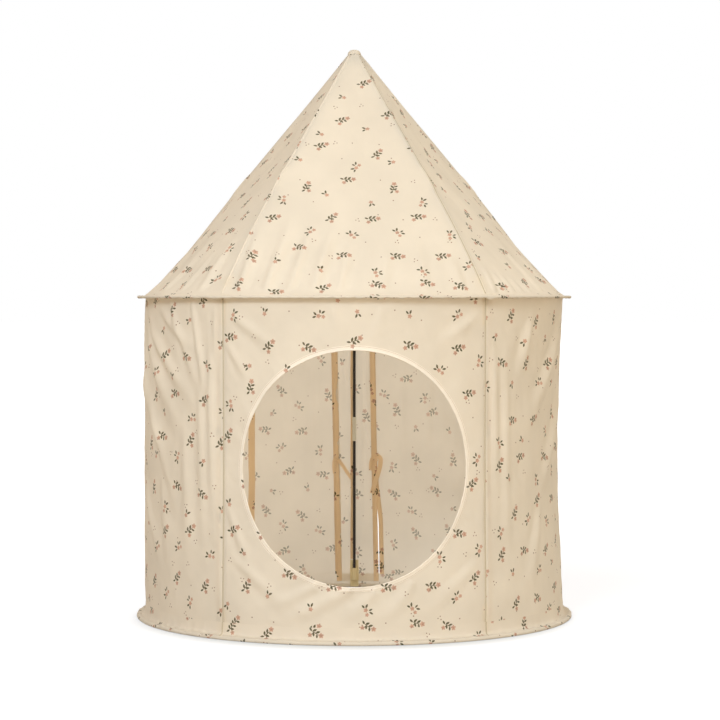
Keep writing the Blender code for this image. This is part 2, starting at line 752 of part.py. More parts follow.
# Apex hub
def apex_hub(parent):
    """A turned cap with a pair of lugs and a pin for each roof pole."""
    start, _, _ = roof_line()
    seat = HUB_SEAT
    crown = seat + HUB_THICKNESS
    profile = [
        (0.0, crown),
        (HUB_TOP_RADIUS * 0.7, crown - 0.0004),
        (HUB_TOP_RADIUS, crown - 0.002),
        (HUB_RADIUS - 0.002, seat + 0.006),
        (HUB_RADIUS, seat + 0.0035),
        (HUB_RADIUS, seat + 0.001),
        (HUB_RADIUS - 0.001, seat),
        (0.0, seat),
    ]
    cap = turned("hub_cap", profile, 40)
    turns = [math.radians(180 + 180 * i / 8) for i in range(9)]
    cheek = [(start.x + LUG_RADIUS * math.cos(t), start.z + LUG_RADIUS * math.sin(t)) for t in turns]
    inside, top = start.x - LUG_RADIUS, seat + 0.002
    cheek += [(start.x + LUG_RADIUS * 0.3, top), (inside, top)]
    across = Matrix.Rotation(math.radians(90), 4, "X")
    near = ROD_RADIUS + GAP
    pieces = []
    for azimuth in POLES.values():
        turn = facing(azimuth)
        for offset in (-near, near + LUG_THICKNESS):
            beside = turn @ Matrix.Translation((0, offset, 0))
            pieces.append(prism("lug", cheek, LUG_THICKNESS, beside @ across))
        reach = near + LUG_THICKNESS - 0.0003
        pin = Matrix.Translation((start.x, reach, start.z)) @ across
        pieces.append(cylinder("pin", PIN_RADIUS, 2 * reach, turn @ pin, segments=10))
    hub = add("apex_hub", cap, "hub_plastic")
    boolean(hub, cutter("hub_lugs", joined("hub_lugs", pieces)), "UNION")
    mesh = baked(hub)
    mesh.name = "apex_hub"
    smooth(mesh)
    return carried(add("apex_hub", mesh, "hub_plastic"), parent)


def build():
    rod = rod_mesh("wall_rod", KNEE_HEIGHT - FOOT_HEIGHT - KNEE_GAP / 2)
    ferrule = ferrule_mesh()
    base_ring()
    wall_cloth()
    knees = {where: wall_pole(where, azimuth, rod, ferrule) for where, azimuth in POLES.items()}
    # the back pole carries the eave, and the other four fold with it
    eave = pivot("eave_pivot", POLES["back"], PIVOT_RADIUS, POLE_TOP, knees["back"])
    eave_ring(eave)
    roof_canopy(eave)
    foot_mesh, eave_mesh = foot_pocket(), eave_pocket()
    start, _, _ = roof_line()
    slide = pivot("hub_slide", POLES["back"], 0.0, start.z, eave)
    apex_hub(slide)
    rods = roof_rods()
    for where, azimuth in POLES.items():
        stand(add(f"foot_pocket_{where}", foot_mesh, "webbing"), azimuth, ROD_AXIS_RADIUS, FOOT_HEIGHT)
        carried(stand(add(f"eave_pocket_{where}", eave_mesh, "webbing"), azimuth), eave)
        roof_pole(where, azimuth, rods, ferrule, slide)


clear_scene()
tent = new_collection("pop_up_play_tent")
cutters = new_collection("cutters")
cutters.hide_render = True
build()
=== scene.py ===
# A child's round play tent of printed cotton, dressed for a plain studio picture.
# The frame holds the poles, hoops and hub. The cloth, hems, pockets and ties are made here.
import json
import math
import random

import bpy
import numpy as np
from mathutils import Matrix, Vector


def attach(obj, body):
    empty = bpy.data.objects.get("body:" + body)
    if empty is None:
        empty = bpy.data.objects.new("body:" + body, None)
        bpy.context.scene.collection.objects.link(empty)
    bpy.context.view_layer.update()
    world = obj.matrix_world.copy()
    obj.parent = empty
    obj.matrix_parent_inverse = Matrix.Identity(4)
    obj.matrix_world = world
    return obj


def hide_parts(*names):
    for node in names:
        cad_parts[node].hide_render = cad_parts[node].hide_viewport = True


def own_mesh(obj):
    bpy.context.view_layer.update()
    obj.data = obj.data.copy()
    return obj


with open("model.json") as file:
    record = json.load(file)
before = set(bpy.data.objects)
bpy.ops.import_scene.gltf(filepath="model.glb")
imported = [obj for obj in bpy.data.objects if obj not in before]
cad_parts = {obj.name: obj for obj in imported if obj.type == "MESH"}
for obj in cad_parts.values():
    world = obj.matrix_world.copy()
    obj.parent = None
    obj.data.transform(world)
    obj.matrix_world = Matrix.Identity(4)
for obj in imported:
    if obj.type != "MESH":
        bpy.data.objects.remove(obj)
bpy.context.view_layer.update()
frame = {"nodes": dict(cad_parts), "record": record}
scene = bpy.context.scene


def addObject(name, data):
    made = bpy.data.objects.new(name, data)
    scene.collection.objects.link(made)
    return made


# Camera, level with the eave and a little to the right of the tent's middle
cameraView = {
    "distance": 5.30, "height": 0.7315, "lens": 115.01, "film": 36.0, "reach": 200.0,
    "tiltDown": 1.569, "turnRight": 0.142,
}


def makeCamera(view):
    data = bpy.data.cameras.new("studioCamera")
    data.lens, data.sensor_width, data.clip_end = view["lens"], view["film"], view["reach"]
    camera = addObject("studioCamera", data)
    camera.location = (0.0, -view["distance"], view["height"])
    camera.rotation_euler = (math.radians(90.0 - view["tiltDown"]), 0.0, -math.radians(view["turnRight"]))
    scene.camera = camera


makeCamera(cameraView)
print("camera set")


# Nodes, for the studio and the finishes
def plug(tree, socket, value):
    if isinstance(value, bpy.types.NodeSocket):
        tree.links.new(value, socket)
    else:
        socket.default_value = value


def addNode(tree, kind, inputs=None, **settings):
    # inputs are values or other nodes' sockets, by name or number
    node = tree.nodes.new(kind)
    for key, value in settings.items():
        setattr(node, key, value)
    for key, value in (inputs or {}).items():
        plug(tree, node.inputs[key], value)
    return node


def maths(tree, operation, *values, clamp=False):
    node = addNode(tree, "ShaderNodeMath", dict(enumerate(values)), operation=operation, use_clamp=clamp)
    return node.outputs[0]


def vectorMaths(tree, operation, *values):
    return addNode(tree, "ShaderNodeVectorMath", dict(enumerate(values)), operation=operation).outputs[0]


def vectorLength(tree, vector):
    return addNode(tree, "ShaderNodeVectorMath", {0: vector}, operation="LENGTH").outputs["Value"]


def separate(tree, vector):
    return addNode(tree, "ShaderNodeSeparateXYZ", {0: vector}).outputs


def mixColour(tree, share, under, over, blend="MIX"):
    node = addNode(tree, "ShaderNodeMix", {0: share, 6: under, 7: over}, data_type="RGBA", blend_type=blend)
    return node.outputs[2]


def noise(tree, vector, scale, detail=2.0, dimensions="2D"):
    inputs = {"Vector": vector, "Scale": scale, "Detail": detail}
    return addNode(tree, "ShaderNodeTexNoise", inputs, noise_dimensions=dimensions).outputs["Fac"]


def raised(tree, height, strength, distance):
    # the normal of a surface with this height
    inputs = {"Height": height, "Strength": strength, "Distance": distance}
    return addNode(tree, "ShaderNodeBump", inputs).outputs[0]


def seenDirectly(tree):
    # camera, mirror and glass rays, which see the plain backdrop
    path = addNode(tree, "ShaderNodeLightPath")
    first = maths(tree, "MAXIMUM", path.outputs["Is Camera Ray"], path.outputs["Is Glossy Ray"])
    return maths(tree, "MAXIMUM", first, path.outputs["Is Transmission Ray"])


def newMaterial(name, inputs):
    # inputs are the shader's own constants
    made = bpy.data.materials.new(name)
    made.use_nodes = True
    tree = made.node_tree
    shader = tree.nodes["Principled BSDF"]
    for key, value in inputs.items():
        shader.inputs[key].default_value = value
    return made, tree, shader


# Light: a pale room, one broad lamp from the upper left and a weaker one from the right
studio = {
    "backdrop": (1.0, 1.0, 1.0, 1.0), "room": (0.94, 0.90, 0.79, 1.0),
    "roomLeft": (0.33, 0.18, 0.04, 1.0), "leftFade": (-0.9, 0.1),  # the room is dimmer to the left
    "lampAim": (0.0, 0.0, 0.55),
    "lamps": {
        "keyLamp": {"power": 163.0, "size": 1.7, "at": (-1.4, -4.2, 3.0), "colour": (0.775, 0.89, 1.0)},
        "fillLamp": {"power": 30.0, "size": 2.6, "at": (2.2, -4.0, 1.0), "colour": (1.0, 0.82, 0.58)},
    },
    "floorHalf": 60.0, "paper": (0.46, 0.42, 0.36, 1.0),
    # the paper is lifted most far from the tent, where less lamplight falls, and least at its front foot, where the low
    # lift paints a contact shadow on the paper;
    # each further lift has a centre, the distances between which it sets in, and its colour
    "liftInPaintedFootShadow": (0.27, 0.32, 0.38, 1.0),
    "lifts": [
        # the first lift rises out of the painted contact shadow in front of the tent's foot
        ((0.0, -0.06, 0.0), 0.436, 0.53, (0.63, 0.67, 0.74, 1.0)),
        ((0.0, 0.0, 0.0), 0.75, 2.4, (0.88, 0.92, 0.99, 1.0)),
    ],
}


def makeRoom(look):
    world = bpy.data.worlds.new("paleRoom")
    world.use_nodes = True
    tree = world.node_tree
    ways = separate(tree, addNode(tree, "ShaderNodeTexCoord").outputs["Generated"])
    leftward = maths(tree, "MULTIPLY_ADD", ways["X"], *look["leftFade"], clamp=True)
    room = mixColour(tree, leftward, look["room"], look["roomLeft"])
    colour = mixColour(tree, seenDirectly(tree), room, look["backdrop"])
    plug(tree, tree.nodes["Background"].inputs["Color"], colour)
    scene.world = world


def areaLamp(name, look, aim):
    data = bpy.data.lights.new(name, "AREA")
    data.shape = "DISK"
    data.size, data.energy, data.color = look["size"], look["power"], look["colour"]
    lamp = addObject(name, data)
    lamp.location = look["at"]
    lamp.rotation_euler = (Vector(aim) - Vector(look["at"])).to_track_quat("-Z", "Y").to_euler()


def makeFloor(look):
    half = look["floorHalf"]
    mesh = bpy.data.meshes.new("studioFloor")
    corners = [(-half, -half, 0.0), (half, -half, 0.0), (half, half, 0.0), (-half, half, 0.0)]
    mesh.from_pydata(corners, [], [(0, 1, 2, 3)])
    floor = addObject("studioFloor", mesh)
    constants = {"Base Color": look["paper"], "Roughness": 1.0, "Specular IOR Level": 0.0, "Emission Strength": 1.0}
    paper, tree, shader = newMaterial("floorPaper", constants)
    position = addNode(tree, "ShaderNodeNewGeometry").outputs["Position"]
    # the lift starts from the painted contact shadow at the tent's front foot
    lift = look["liftInPaintedFootShadow"]
    for centre, start, end, lifted in look["lifts"]:
        away = vectorLength(tree, vectorMaths(tree, "SUBTRACT", position, centre))
        ramp = addNode(tree, "ShaderNodeMapRange", {0: away, 1: start, 2: end}, interpolation_type="SMOOTHSTEP")
        lift = mixColour(tree, ramp.outputs[0], lift, lifted)
    lift = mixColour(tree, seenDirectly(tree), (0.0, 0.0, 0.0, 1.0), lift)
    plug(tree, shader.inputs["Emission Color"], lift)
    mesh.materials.append(paper)


makeRoom(studio)
for name, look in studio["lamps"].items():
    areaLamp(name, look, studio["lampAim"])
makeFloor(studio)
scene.view_settings.view_transform = "Standard"
print("studio lit")

# The tent's own sizes, in metres and degrees
tent = {
    "wallRadius": 0.4785, "wallFoot": 0.0345, "wallHead": 0.7300, "eave": 0.7315, "brimRadius": 0.4975,
    "top": 1.300, "roofFoot": 0.7374, "tip": 0.006,
    "bow": 0.016, "roundReach": 0.42, "flatFrom": 0.72, "flatTo": 0.38,
    "doorRadius": 0.250, "doorHeight": 0.370,
    "hingeAt": 148.7, "stripHalf": 0.047, "tieHeight": 0.334, "gore": 72.0, "halfGore": 36.0,
}
poleAt = {"front_left": -36.0, "front_right": 36.0, "side_left": -108.0, "side_right": 108.0, "back": 180.0}
bothSides = (("left", -1), ("right", 1))
wallFold = {"joint": "wall_fold", "axis": (0, 0, 1), "anchor": (0, 0, tent["wallFoot"]), "keep": 0.079}
roofFold = {"joint": "roof_fold", "axis": (0, 0, 1), "anchor": (0, 0, tent["roofFoot"]), "keep": 0.147}


# Node groups that several finishes use
def newGroup(name, inputs, outputs):
    # an input's kind follows from its first value: None is a vector, a number or a colour stands for itself
    kinds = {type(None): "NodeSocketVector", float: "NodeSocketFloat", tuple: "NodeSocketColor"}
    group = bpy.data.node_groups.new(name, "ShaderNodeTree")
    for title, value in inputs.items():
        socket = group.interface.new_socket(name=title, in_out="INPUT", socket_type=kinds[type(value)])
        if value is not None:
            socket.default_value = value
    for title, kind in outputs.items():
        group.interface.new_socket(name=title, in_out="OUTPUT", socket_type=kind)
    return group, addNode(group, "NodeGroupInput").outputs, addNode(group, "NodeGroupOutput").inputs


# A small strewn print: leafy twigs with one or two blossoms, single buds, and dots
# leaves are (x, y, length, width, angle), blossoms (x, y, radius, petals) and dots (x, y, radius), in metres
sprigPrint = {
    "pitch": 0.100, "jitter": 0.032, "twist": 2.0, "size": 0.98, "leafEdge": 5.0, "blossomEdge": 4.0, "lobe": 0.16,
    "twigLeaves": [
        (-0.0080, 0.0020, 0.0108, 0.0054, 76), (-0.0030, -0.0052, 0.0104, 0.0052, -32),
        (-0.0004, 0.0050, 0.0108, 0.0054, 68), (0.0052, -0.0022, 0.0096, 0.0048, -36),
        (-0.0150, -0.0036, 0.0100, 0.0048, 174),
    ],
    "twigStems": [(-0.0024, -0.0006, 0.0190, 0.0019, 22), (-0.0058, -0.0070, 0.0090, 0.0017, 262)],
    "twigBlossoms": [(0.0096, 0.0058, 0.0070, 5), (-0.0066, -0.0124, 0.0060, 5)],
    "budLeaves": [(-0.0056, 0.0050, 0.0106, 0.0050, 138), (-0.0070, -0.0022, 0.0098, 0.0046, 200)],
    "budBlossoms": [(0.0024, 0.0002, 0.0060, 5)],
    "pairLeaves": [(0.0122, 0.0092, 0.0102, 0.0048, 38), (0.0052, 0.0104, 0.0090, 0.0042, 96)],
    "pairBlossoms": [(0.0128, -0.0006, 0.0052, 5)], "pairShare": 0.5,
    "dots": [(0.0, 0.0, 0.0020), (0.0066, 0.0032, 0.0018), (0.0014, 0.0074, 0.0018)],
    "dotPitch": 0.58, "dotShift": (0.021, 0.013, 0.0), "dotJitter": 0.030, "dotTwist": 6.0,
    "dotShare": 0.22, "threeShare": 0.62,
    "heart": 0.30, "heartInk": 0.6,
    # the ink is a little uneven, some leaves are browner, and each blossom deepens to one side
    "inkGrain": 420.0, "inkSpread": (0.5, 0.68), "toneGrain": 130.0, "toneFrom": 0.42, "toneTo": 0.58,
    "leafTone": 0.07, "blossomTone": 0.40,
}


def printCell(tree, vector, pitch, shift, jitter, twist, size=1.0):
    # where a point lies in its own cell of the repeat, in metres, and that cell's random number
    moved = vectorMaths(tree, "ADD", vector, shift)
    scaled = separate(tree, vectorMaths(tree, "MULTIPLY", moved, (1 / pitch, 1 / pitch, 0.0)))
    odd = maths(tree, "MODULO", maths(tree, "FLOOR", scaled["Y"]), 2.0)
    halfDrop = maths(tree, "ADD", scaled["X"], maths(tree, "MULTIPLY", odd, 0.5))
    dropped = addNode(tree, "ShaderNodeCombineXYZ", {"X": halfDrop, "Y": scaled["Y"]}).outputs[0]
    cell = {"Vector": vectorMaths(tree, "FLOOR", dropped)}
    chance = addNode(tree, "ShaderNodeTexWhiteNoise", cell, noise_dimensions="2D").outputs
    local = vectorMaths(tree, "SUBTRACT", vectorMaths(tree, "FRACTION", dropped), (0.5, 0.5, 0.0))
    local = vectorMaths(tree, "MULTIPLY", local, (pitch, pitch, 0.0))
    strew = vectorMaths(tree, "SUBTRACT", chance["Color"], (0.5, 0.5, 0.5))
    local = vectorMaths(tree, "SUBTRACT", local, vectorMaths(tree, "MULTIPLY", strew, (jitter, jitter, 0.0)))
    local = vectorMaths(tree, "MULTIPLY", local, (1 / size, 1 / size, 0.0))
    turn = maths(tree, "MULTIPLY", maths(tree, "SUBTRACT", separate(tree, chance["Color"])["Z"], 0.5), twist)
    turned = addNode(tree, "ShaderNodeVectorRotate", {"Vector": local, "Angle": turn}, rotation_type="Z_AXIS")
    return turned.outputs[0], chance["Value"]


def leafMask(tree, vector, x, y, length, width, angle):
    inputs = {
        "Vector": vector, "Location": (x, y, 0.0), "Rotation": (0.0, 0.0, math.radians(angle)),
        "Scale": (length / 2, width / 2, 1.0),
    }
    spot = separate(tree, addNode(tree, "ShaderNodeMapping", inputs, vector_type="TEXTURE").outputs[0])
    bulge = maths(tree, "SUBTRACT", 1.0, maths(tree, "MULTIPLY", spot["X"], spot["X"]))
    inside = maths(tree, "SUBTRACT", bulge, maths(tree, "ABSOLUTE", spot["Y"]))
    return maths(tree, "MULTIPLY", inside, sprigPrint["leafEdge"], clamp=True)


def blossomMask(tree, vector, x, y, radius, petals):
    spot = vectorMaths(tree, "SUBTRACT", vector, (x, y, 0.0))
    way = separate(tree, spot)
    angle = maths(tree, "MULTIPLY", maths(tree, "ARCTAN2", way["Y"], way["X"]), float(petals))
    lobes = maths(tree, "MULTIPLY_ADD", maths(tree, "COSINE", angle), sprigPrint["lobe"], 1.0 - sprigPrint["lobe"])
    rim = maths(tree, "MULTIPLY", lobes, radius)
    inside = maths(tree, "SUBTRACT", 1.0, maths(tree, "DIVIDE", vectorLength(tree, spot), rim))
    return maths(tree, "MULTIPLY", inside, sprigPrint["blossomEdge"], clamp=True)


def largest(tree, masks):
    found = masks[0]
    for mask in masks[1:]:
        found = maths(tree, "MAXIMUM", found, mask)
    return found


def makePrintGroup(design):
    group, given, out = newGroup(
        "strewnSprigs",
        {"Vector": None, "Strength": 1.0, "Cloth": (0.8, 0.7, 0.6, 1.0), "Leaf": (0.05, 0.05, 0.03, 1.0),
         "Blossom": (0.7, 0.35, 0.27, 1.0), "Dot": (0.55, 0.30, 0.25, 1.0)},
        {"Color": "NodeSocketColor", "Mask": "NodeSocketFloat"},
    )
    vector = given["Vector"]
    pitch, jitter, twist = design["pitch"], design["jitter"], design["twist"]

    def masksOf(drawMask, place, titles):
        return [drawMask(group, place, *row) for title in titles for row in design[title]]

    # twigs
    twig, _ = printCell(group, vector, pitch, (0.0, 0.0, 0.0), jitter, twist, design["size"])
    leaves = masksOf(leafMask, twig, ["twigLeaves", "twigStems"])
    blossoms = masksOf(blossomMask, twig, ["twigBlossoms"])
    hearts = [blossomMask(group, twig, x, y, radius * design["heart"], 1) for x, y, radius, _ in design["twigBlossoms"]]
    # buds between them, of which some have a second one beside them
    bud, chance = printCell(group, vector, pitch, (pitch / 2, pitch / 2 * 0.9, 0.0), jitter, twist * 2, design["size"])
    leaves += masksOf(leafMask, bud, ["budLeaves"])
    blossoms += masksOf(blossomMask, bud, ["budBlossoms"])
    paired = maths(group, "GREATER_THAN", chance, design["pairShare"])
    leaves.append(maths(group, "MULTIPLY", largest(group, masksOf(leafMask, bud, ["pairLeaves"])), paired))
    blossoms.append(maths(group, "MULTIPLY", largest(group, masksOf(blossomMask, bud, ["pairBlossoms"])), paired))
    # dots, in threes or alone
    dot, chance = printCell(
        group, vector, pitch * design["dotPitch"], design["dotShift"], design["dotJitter"], design["dotTwist"])
    alone, *others = [blossomMask(group, dot, *spot, 1) for spot in design["dots"]]
    three = maths(group, "MULTIPLY", largest(group, others), maths(group, "GREATER_THAN", chance, design["threeShare"]))
    shown = maths(group, "GREATER_THAN", chance, design["dotShare"])
    dots = maths(group, "MULTIPLY", maths(group, "MAXIMUM", alone, three), shown)
    leafAll, blossomAll = largest(group, leaves), largest(group, blossoms)
    # inks
    uneven = maths(group, "MULTIPLY_ADD", noise(group, vector, design["inkGrain"]), *design["inkSpread"])
    strength = maths(group, "MULTIPLY", given["Strength"], uneven, clamp=True)
    tone = noise(group, vector, design["toneGrain"])
    step = {0: tone, 1: design["toneFrom"], 2: design["toneTo"], 3: 0.0, 4: 1.0}
    step = addNode(group, "ShaderNodeMapRange", step).outputs[0]
    leafInk = mixColour(group, maths(group, "MULTIPLY", step, design["leafTone"]), given["Leaf"], given["Blossom"])
    blossomInk = mixColour(group, maths(group, "MULTIPLY", step, design["blossomTone"]), given["Blossom"], given["Dot"])
    colour = given["Cloth"]
    for mask, ink in ((dots, given["Dot"]), (leafAll, leafInk), (blossomAll, blossomInk)):
        colour = mixColour(group, maths(group, "MULTIPLY", mask, strength), colour, ink)
    heart = maths(group, "MULTIPLY", maths(group, "MULTIPLY", largest(group, hearts), strength), design["heartInk"])
    plug(group, out["Color"], mixColour(group, heart, colour, given["Dot"]))
    plug(group, out["Mask"], largest(group, [leafAll, blossomAll, dots]))
    return group


def makeWeaveGroup():
    # plain weave: threads over and under, slubs along the weft, and a broad mottle in the dye
    group, given, out = newGroup(
        "plainWeave", {"Vector": None, "Thread": 0.0008, "Slub": 0.5},
        {"Height": "NodeSocketFloat", "Mottle": "NodeSocketFloat"},
    )
    threads = {0: given["Vector"], "Scale": maths(group, "DIVIDE", math.pi, given["Thread"])}
    parts = separate(group, addNode(group, "ShaderNodeVectorMath", threads, operation="SCALE").outputs[0])
    weave = maths(group, "MULTIPLY", maths(group, "SINE", parts["X"]), maths(group, "SINE", parts["Y"]))
    slubs = noise(group, vectorMaths(group, "MULTIPLY", given["Vector"], (60.0, 900.0, 1.0)), 1.0)
    slubs = maths(group, "MULTIPLY", slubs, given["Slub"])
    plug(group, out["Height"], maths(group, "ADD", weave, slubs))
    plug(group, out["Mottle"], noise(group, given["Vector"], 9.0, 4.0))
    return group


strewnSprigs = makePrintGroup(sprigPrint)
plainWeave = makeWeaveGroup()
print("print and weave drawn")

# Cloth finishes: colours are linear, the inside is the wrong side of the print, with a paler print and, for the printed
# cloth, a ground painted lighter to stand in for light indoors, and print is its strength outside and inside; through
# is the share of light that shines through
clothLooks = {
    "printedCotton": {
        # the inside's paler print is the cloth's wrong side; its lighter ground is painted light for the dim interior
        "cloth": (0.84, 0.745, 0.620), "inside": (0.93, 0.845, 0.715), "print": (1.0, 0.60), "through": 0.34,
    },
    # the hems', tapes' and ribbons' tan ground is painted shade, standing for the dimmer, warmer light in folded layers
    # of the cream cloth
    "hemCottonPaintedShade": {"cloth": (0.95, 0.72, 0.47), "inside": (0.95, 0.72, 0.47), "print": (1.0, 1.0), "through": 0.06},
    # the binding is the wall's own cloth, painted lighter outside as a highlight along the doorway's edge
    "bindingCottonPaintedHighlight": {
        "cloth": (0.97, 0.865, 0.735), "inside": (0.90, 0.78, 0.62), "print": (1.0, 0.8), "through": 0.20,
    },
    "tanWebbing": {"cloth": (0.95, 0.81, 0.50), "inside": (0.95, 0.81, 0.50), "print": (0.0, 0.0), "through": 0.04},
}
cottonWeave = {"thread": 0.0008, "slub": 0.5, "relief": 0.35}
webbingWeave = {"thread": 0.0018, "slub": 0.8, "relief": 0.7}
clothSurface = {"Roughness": 0.86, "Specular IOR Level": 0.25, "Sheen Weight": 0.12, "Sheen Roughness": 0.5}
inkColours = {"Leaf": (0.066, 0.062, 0.018, 1.0), "Blossom": (0.66, 0.38, 0.27, 1.0), "Dot": (0.36, 0.22, 0.16, 1.0)}


def clothFinish(name, look):
    woven = webbingWeave if name == "tanWebbing" else cottonWeave
    made, tree, shader = newMaterial(name, clothSurface)
    vector = addNode(tree, "ShaderNodeUVMap", uv_map="clothMetres").outputs[0]
    side = addNode(tree, "ShaderNodeNewGeometry").outputs["Backfacing"]
    threads = {"Vector": vector, "Thread": woven["thread"], "Slub": woven["slub"]}
    weave = addNode(tree, "ShaderNodeGroup", threads, node_tree=plainWeave).outputs
    ground = mixColour(tree, side, (*look["cloth"], 1.0), (*look["inside"], 1.0))
    outside, inside = look["print"]
    strength = maths(tree, "MULTIPLY_ADD", side, inside - outside, outside)
    inks = {"Vector": vector, "Strength": strength, "Cloth": ground, **inkColours}
    sprigs = addNode(tree, "ShaderNodeGroup", inks, node_tree=strewnSprigs).outputs["Color"]
    mottle = maths(tree, "MULTIPLY_ADD", weave["Mottle"], 0.14, 0.93)
    greys = addNode(tree, "ShaderNodeCombineColor", {0: mottle, 1: mottle, 2: mottle}).outputs[0]
    colour = mixColour(tree, 1.0, sprigs, greys, blend="MULTIPLY")
    plug(tree, shader.inputs["Base Color"], colour)
    plug(tree, shader.inputs["Normal"], raised(tree, weave["Height"], woven["relief"], 0.0003))
    glow = addNode(tree, "ShaderNodeBsdfTranslucent", {"Color": colour}).outputs[0]
    both = addNode(tree, "ShaderNodeMixShader", {0: look["through"], 1: shader.outputs[0], 2: glow})
    plug(tree, tree.nodes["Material Output"].inputs["Surface"], both.outputs[0])
    return made


# Plain finishes, with a fine uneven grain that is placed by the piece's own shape
plainLooks = {
    "seamShade": {"colour": (0.53, 0.44, 0.315), "roughness": 0.9},
    "creamShade": {"colour": (0.76, 0.66, 0.53), "roughness": 0.9},
    "grooveShade": {"colour": (0.62, 0.49, 0.36), "roughness": 0.9},
    "creamThread": {"colour": (0.74, 0.62, 0.46), "roughness": 0.7, "grain": 0.18, "grainSize": 900.0},
    "blackRod": {
        "colour": (0.012, 0.007, 0.005), "roughness": 0.42, "grain": 0.35, "grainSize": 90.0, "bump": 0.0001,
        "stretch": (1.0, 1.0, 0.12),
    },
    "ferruleGrey": {
        "colour": (0.73, 0.70, 0.60), "roughness": 0.46, "grain": 0.08, "grainSize": 160.0, "bump": 0.00008,
        "stretch": (1.0, 1.0, 0.3),
    },
    "springSteel": {
        "colour": (0.42, 0.42, 0.43), "roughness": 0.34, "metallic": 1.0, "grain": 0.12, "grainSize": 120.0,
    },
    "hubPlastic": {"colour": (0.028, 0.027, 0.026), "roughness": 0.48, "grainSize": 1400.0, "bump": 0.00005},
}


def plainFinish(name, colour, roughness, metallic=0.0, grain=0.10, grainSize=260.0, bump=0.0002,
                stretch=(1.0, 1.0, 1.0)):
    made, tree, shader = newMaterial(name, {"Metallic": metallic})
    where = addNode(tree, "ShaderNodeTexCoord").outputs["Object"]
    speckle = noise(tree, vectorMaths(tree, "MULTIPLY", where, stretch), grainSize, 3.0, "3D")
    dark = tuple(part * (1.0 - grain) for part in colour) + (1.0,)
    light = tuple(min(1.0, part * (1.0 + grain)) for part in colour) + (1.0,)
    spread = 0.16  # of the roughness
    plug(tree, shader.inputs["Base Color"], mixColour(tree, speckle, dark, light))
    plug(tree, shader.inputs["Roughness"], maths(tree, "MULTIPLY_ADD", speckle, spread, roughness - spread / 2))
    plug(tree, shader.inputs["Normal"], raised(tree, speckle, 0.5, bump))
    return made


finishes = {name: clothFinish(name, look) for name, look in clothLooks.items()}
finishes.update({name: plainFinish(name, **look) for name, look in plainLooks.items()})
print("finishes mixed")


# Cloth meshes
def arcAt(azimuth):
    # metres round the wall from the front
    return math.radians(azimuth) * tent["wallRadius"]


def limited(value):
    return np.clip(value, 0.0, 1.0)


def smooth(share):
    return share * share * (3 - 2 * share)


def bell(offset, width):
    return np.exp(-(offset / width) ** 2)


def placed(turns, radius, z):
    # turns are radians from the front, counted to the right
    return np.stack(np.broadcast_arrays(np.sin(turns) * radius, -np.cos(turns) * radius, z), axis=-1)


def flatMarks(s, z, shift=(0.0, 0.0)):
    # places on the flat cloth in metres
    return np.stack(np.broadcast_arrays(s + shift[0], z + shift[1]), axis=-1)


def gridPiece(name, points, marks, finish, wrap=False, skip=None):
    # rows of points make the faces; a ring's marks go once more round than its points
    rows, across = points.shape[:2]
    if wrap and marks.shape[1] == across:
        marks = np.concatenate([marks, marks[:, :1]], axis=1)
    i, j = np.meshgrid(np.arange(rows - 1), np.arange(across if wrap else across - 1), indexing="ij")
    if skip is not None:
        i, j = i[~skip], j[~skip]
    k = (j + 1) % across
    corners = [i * across + j, i * across + k, (i + 1) * across + k, (i + 1) * across + j]
    used, corners = np.unique(np.stack(corners, axis=-1).reshape(-1, 4), return_inverse=True)
    mesh = bpy.data.meshes.new(name)
    mesh.from_pydata(points.reshape(-1, 3)[used].tolist(), [], corners.reshape(-1, 4).tolist())
    layer = mesh.uv_layers.new(name="clothMetres")
    spots = np.stack([marks[i, j], marks[i, j + 1], marks[i + 1, j + 1], marks[i + 1, j]], axis=-2)
    layer.data.foreach_set("uv", spots.astype(np.float32).ravel())
    return finishMesh(name, mesh, finish)


def finishMesh(name, mesh, finish):
    mesh.shade_smooth()
    mesh.materials.append(finishes[finish])
    return addObject(name, mesh)


def dress(obj, body, squash=None, replaces=()):
    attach(obj, body)
    if replaces:
        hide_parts(*replaces)
    if squash:
        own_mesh(obj)
    return obj


def foldHeights(s, z, folds):
    # soft ridges from one place to another, fading at both ends, or only at the far one;
    # a fold is (start, its height, end, its height, width, how high it stands, and the share it rises over)
    total = np.zeros_like(s)
    for s0, z0, s1, z1, width, height, *rest in folds:
        lead = rest[0] if rest else 0.35
        length = math.hypot(s1 - s0, z1 - z0)
        along = ((s - s0) * (s1 - s0) + (z - z0) * (z1 - z0)) / length ** 2
        off = ((s - s0) * (z1 - z0) - (z - z0) * (s1 - s0)) / length
        inside = limited(along)
        rise = limited(inside / lead) if lead > 0 else (along > -0.02).astype(float)
        taper = smooth(rise) * smooth(limited((1.0 - inside) / 0.6)) * (along < 1.0) * (along > -0.02)
        spread = width * (0.7 + 0.6 * inside)
        total += height * taper * (bell(off, spread) - 0.35 * bell(off - 1.7 * spread, spread))
    return total


fullTurn = 6.283


def slack(s, z, seed, height, low=0.05, high=0.16):
    # the faint unevenness of cloth that is held but not tight, as a few waves between low and high in length
    chance = random.Random(seed)
    total = np.zeros_like(s)
    count = 9
    for _ in range(count):
        wave = chance.uniform(low, high)
        angle = chance.uniform(-1.2, 1.2)
        phase = chance.uniform(0.0, fullTurn)
        total += np.sin((s * math.cos(angle) + z * math.sin(angle)) * fullTurn / wave + phase) * wave / high
    return total * height / math.sqrt(count)


